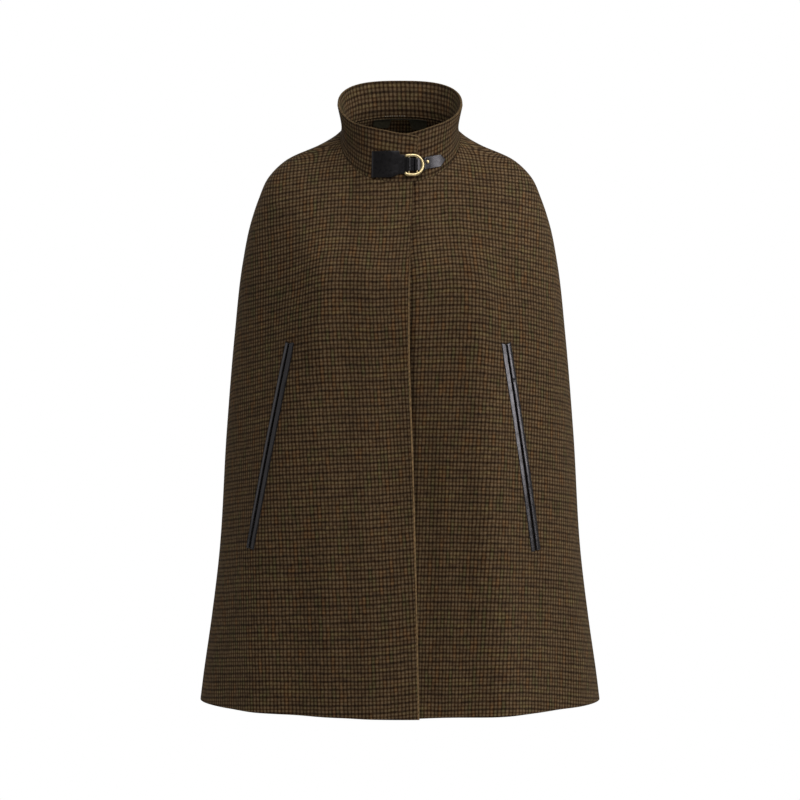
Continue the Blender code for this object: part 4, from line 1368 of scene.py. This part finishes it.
def wool(name, tone=1.0):
    n = Nodes(name)
    grain = n.grain()
    moved = grain
    for scale, reach in ((60.0, 0.0016), (900.0, 0.0010)):
        shake = n.noise(grain, scale, 1.0, kind="Color")
        shake = n.add("ShaderNodeVectorMath", {0: shake, 1: (0.5, 0.5, 0.5)}, operation="SUBTRACT").outputs[0]
        moved = n.add("ShaderNodeVectorMath", {0: shake, 1: (reach, reach, 0.0), 2: moved},
                      operation="MULTIPLY_ADD").outputs[0]
    parts = n.add("ShaderNodeSeparateXYZ", {0: moved})
    u, v = parts.outputs[0], parts.outputs[1]
    upright = n.span(n.math("PINGPONG", u, UPRIGHT / 2), 0.0007, 0.0016, 0.90, 0.0)
    level = n.span(n.math("PINGPONG", v, LEVEL / 2), 0.0009, 0.0021, 0.92, 0.0)
    between = n.span(n.math("PINGPONG", n.math("ADD", v, LEVEL / 2), LEVEL / 2), 0.0006, 0.0016, 0.85, 0.0)
    # each yarn's own colour, changing along it
    column = n.math("FLOOR", n.math("DIVIDE", u, UPRIGHT))
    row = n.math("FLOOR", n.math("DIVIDE", v, LEVEL / 2))
    warp = n.noise(n.spot(n.math("MULTIPLY", column, 5.3), n.math("MULTIPLY", v, 26.0), 0.0), 1.0, 1.0)
    weft = n.noise(n.spot(n.math("MULTIPLY", u, 26.0), n.math("MULTIPLY", row, 5.3), 4.0), 1.0, 1.0)
    toned = colour(*GROUND, tone=tone)
    for yarn, start, full, most, rgb in ((warp, 0.55, 0.70, 0.70, RUST), (warp, 0.45, 0.30, 0.70, OLIVE),
                                         (weft, 0.56, 0.72, 0.60, STRAW), (weft, 0.44, 0.28, 0.55, BROWN)):
        toned = n.mix(n.span(yarn, start, full, 0.0, most), toned, colour(*rgb, tone=tone))
    # dark lines, blotted and in two dyes
    turn = n.span(n.noise(grain, 130.0, 1.0), 0.40, 0.60, 0.0, 1.0)
    blot = n.span(n.noise(grain, 230.0, 2.0, 0.6), 0.32, 0.62, 0.75, 1.0)
    for line, (one, two) in ((between, BETWEEN_DARK), (upright, UPRIGHT_DARK), (level, LEVEL_DARK)):
        dark = n.mix(turn, colour(*one), colour(*two))
        toned = n.mix(n.math("MULTIPLY", line, blot), toned, n.mix(1.0, toned, dark, "MULTIPLY"))
    # fine twill ribs, mixed fibres and fuzz
    twill = n.math("SINE", n.math("MULTIPLY", n.math("ADD", u, v), 2 * math.pi / TWILL))
    fibre = n.noise(grain, 1400.0, 3.0, 0.65)
    fuzz = n.noise(grain, 520.0, 2.0, 0.6)
    knot = n.add("ShaderNodeTexWhiteNoise", {"Vector": n.spot(column, row, 0.0)}).outputs["Value"]
    shade = n.math("ADD", n.math("MULTIPLY", twill, 0.10), n.span(fibre, 0.2, 0.8, 0.74, 1.26, "LINEAR"))
    shade = n.math("MULTIPLY", shade, n.span(knot, 0.0, 1.0, 0.84, 1.16, "LINEAR"))
    shade = n.math("MULTIPLY", shade, n.span(fuzz, 0.25, 0.75, 0.76, 1.24, "LINEAR"))
    n.link(n.shade(toned, shade), "Base Color")
    n.bump(0.55, 0.0004, n.math("ADD", n.math("MULTIPLY", twill, 0.35), fibre))
    n.set(**WOOL_FINISH)
    return n.material


def rolled_edge(name):
    """The cloth where an edge rolls over: a plain lighter colour as a painted highlight, dim up high and
    lighter lower down.
    """
    n = Nodes(name)
    spot = n.place()
    low, high = (colour(*ROLLED, tone=tone) for tone in ROLLED_TONES)
    toned = n.mix(n.span(n.noise(spot, 330.0, 3.0, 0.65), 0.3, 0.7, 0.0, 1.0), low, high)
    # painted highlight on the rolled edge: dim up high, lighter lower down
    tone_factor = n.span(n.add("ShaderNodeSeparateXYZ", {0: spot}).outputs[2], *ROLLED_HIGHLIGHT)
    n.link(n.shade(toned, tone_factor), "Base Color")
    n.bump(0.5, 0.0004, n.noise(spot, 1400.0, 3.0, 0.65))
    n.set(**WOOL_FINISH)
    return n.material


def leather(name, rough=0.27, tone=1.0, gloss=0.5, grained=0.10):
    n = Nodes(name)
    spot = n.place()
    grain = n.add("ShaderNodeTexVoronoi", {"Vector": spot, "Scale": 1500.0}).outputs["Distance"]
    wear = n.noise(spot, 220.0, 3.0, 0.6)
    low, high = colour(0.0082, 0.0076, 0.0074, tone=tone), colour(0.0128, 0.0116, 0.0112, tone=tone)
    n.link(n.mix(n.span(wear, 0.3, 0.7, 0.0, 1.0), low, high), "Base Color")
    n.link(n.span(wear, 0.3, 0.7, rough - 0.04, rough + 0.06), "Roughness")
    n.bump(grained, 0.0003, n.math("ADD", n.math("MULTIPLY", grain, 0.5), wear))
    n.set(Specular_IOR_Level=gloss, Specular_Tint=colour(0.98, 0.93, 1.0))
    return n.material


def thread(name):
    n = Nodes(name)
    cloud = n.noise(n.place(), 900.0)
    n.link(n.mix(cloud, colour(0.26, 0.24, 0.19), colour(0.40, 0.37, 0.30)), "Base Color")
    n.set(Roughness=0.7)
    return n.material


def brass(name):
    n = Nodes(name)
    wear = n.noise(n.place(), 300.0, 3.0, 0.6)
    tone_factor = n.span(wear, 0.35, 0.7, 0.0, 1.0)
    n.link(n.mix(tone_factor, colour(0.88, 0.72, 0.40), colour(0.78, 0.62, 0.32)), "Base Color")
    n.link(n.span(wear, 0.3, 0.7, 0.38, 0.46), "Roughness")
    n.set(Metallic=1.0)
    return n.material


def satin(name):
    n = Nodes(name)
    grain = n.grain()
    v = n.add("ShaderNodeSeparateXYZ", {0: grain}).outputs[1]
    cloud = n.span(n.noise(grain, 300.0, 3.0, 0.6), 0.3, 0.7, 0.0, 1.0)
    n.link(n.mix(cloud, colour(0.050, 0.044, 0.025), colour(0.076, 0.067, 0.041)), "Base Color")
    n.bump(0.3, 0.0002, n.math("SINE", n.math("MULTIPLY", v, 2 * math.pi / 0.0006)))
    n.set(Roughness=0.6, Specular_IOR_Level=0.2)
    return n.material


def floor_paint():
    n = Nodes("floor_paint")
    cloud = n.noise(n.place(), 1.5)
    n.link(n.mix(cloud, colour(0.90, 0.90, 0.90), colour(0.92, 0.92, 0.92)), "Base Color")
    n.set(Roughness=0.9)
    return n.material


# Stage

# Soft lights: name, place, what it faces, width, height, watts
LIGHTS = (
    ("key", (1.60, -0.80, 0.50), (0.0, 0.0, -0.30), 0.60, 1.8, 16.0),
    ("fill", (-2.8, -0.6, 0.3), (0.0, 0.0, -0.35), 1.8, 2.4, 9.0),
    ("top", (0.7, -1.7, 2.2), (0.0, 0.0, -0.2), 2.2, 1.6, 46.0),
    ("back", (-0.4, 2.7, 0.9), (0.0, 0.0, -0.35), 2.4, 1.8, 18.0),
)
# Light from all round, the sensor's width in millimetres, and the floor's half width and height
ROUND_LIGHT = 0.13
SENSOR = 36.0
FLOOR_HALF = 1.7
FLOOR_Z = -1.25


def area_light(name, spot, target, width, height, power):
    data = bpy.data.lights.new(name, "AREA")
    data.shape = "RECTANGLE"
    data.size, data.size_y = width, height
    data.energy = power
    item = bpy.data.objects.new(name, data)
    bpy.context.scene.collection.objects.link(item)
    item.location = spot
    item.rotation_euler = (Vector(target) - Vector(spot)).to_track_quat("-Z", "Y").to_euler()


def studio():
    """A world that lights softly and shows white behind the cape."""
    world = bpy.data.worlds.new("studio")
    world.use_nodes = True
    tree = world.node_tree
    tree.nodes.clear()
    ray = tree.nodes.new("ShaderNodeLightPath")
    mix = tree.nodes.new("ShaderNodeMixShader")
    out = tree.nodes.new("ShaderNodeOutputWorld")
    for slot, strength in ((1, ROUND_LIGHT), (2, 1.0)):
        light = tree.nodes.new("ShaderNodeBackground")
        light.inputs["Color"].default_value = colour(1.0, 1.0, 1.0)
        light.inputs["Strength"].default_value = strength
        tree.links.new(light.outputs[0], mix.inputs[slot])
    tree.links.new(ray.outputs["Is Camera Ray"], mix.inputs[0])
    tree.links.new(mix.outputs[0], out.inputs[0])
    return world


def stage():
    scene = bpy.context.scene
    scene.view_settings.view_transform = "Standard"
    scene.view_settings.look = "None"
    scene.world = studio()
    for light in LIGHTS:
        area_light(*light)
    camera = bpy.data.cameras.new("camera")
    camera.sensor_width = SENSOR
    camera.lens = SENSOR * EYE_BACK / SEEN_WIDTH
    eye = bpy.data.objects.new("camera", camera)
    scene.collection.objects.link(eye)
    eye.location = (0.0, -EYE_BACK, EYE_Z)
    eye.rotation_euler = (math.pi / 2, 0.0, 0.0)
    scene.camera = eye
    corners = [(FLOOR_HALF * x, FLOOR_HALF * y, FLOOR_Z) for x, y in ((-1, -1), (1, -1), (1, 1), (-1, 1))]
    make_object("floor", corners, [(0, 1, 2, 3)], [floor_paint()])


def wear(item, slot, *nodes):
    """A piece that stands for CAD nodes."""
    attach(item, "root")
    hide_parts(*nodes)
    return item


def main():
    rolled = rolled_edge("wool_rolled")
    cloth = {
        "right_front": front_panel("right", wool("wool_right_front"), rolled),
        "left_front": front_panel("left", wool("wool_left_front"), rolled),
        "back": back_panel(wool("wool_back")),
        # the collar wears that darker copy of the wool: painted shade
        "collar": collar(wool("wool_collar", COLLAR_SHADE), rolled),
    }
    for node, (item, size) in cloth.items():
        wear(item, "wool", node)
        print(node, [round(x, 4) for x in size])
    carried = {"right_front": [], "left_front": []}
    for panel in SIDES:
        for which in ("inner", "outer"):
            name = f"{panel}_{which}"
            lip = slit_lip(panel, which, leather("leather_" + name, gloss=LIP_GLOSS[name]))
            carried[panel + "_front"].append(wear(lip, "leather", "slit_" + name))
    # the base patch takes a darker copy of the leather, tone 0.62: painted shade
    wear(strap_base(leather("leather_base", 0.30, 0.62, 0.32, 0.03)), "leather", "strap_base")
    wear(strap_tail(leather("leather_tail", 0.30, 1.0, 0.6, 0.015)), "leather", "strap_tail")
    wear(d_ring(brass("brass_ring")), "brass", "d_ring")
    wear(stud(brass("brass_stud")), "brass", "stud")
    label = wear(neck_label(satin("satin_label")), "label", "neck_label")
    stitches = label_stitches(thread("label_thread"))
    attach(stitches, "root")
    carried["back"] = [label, stitches]
    for node, pieces in carried.items():
        item, (width, length, area) = cloth[node]
    stage()


main()
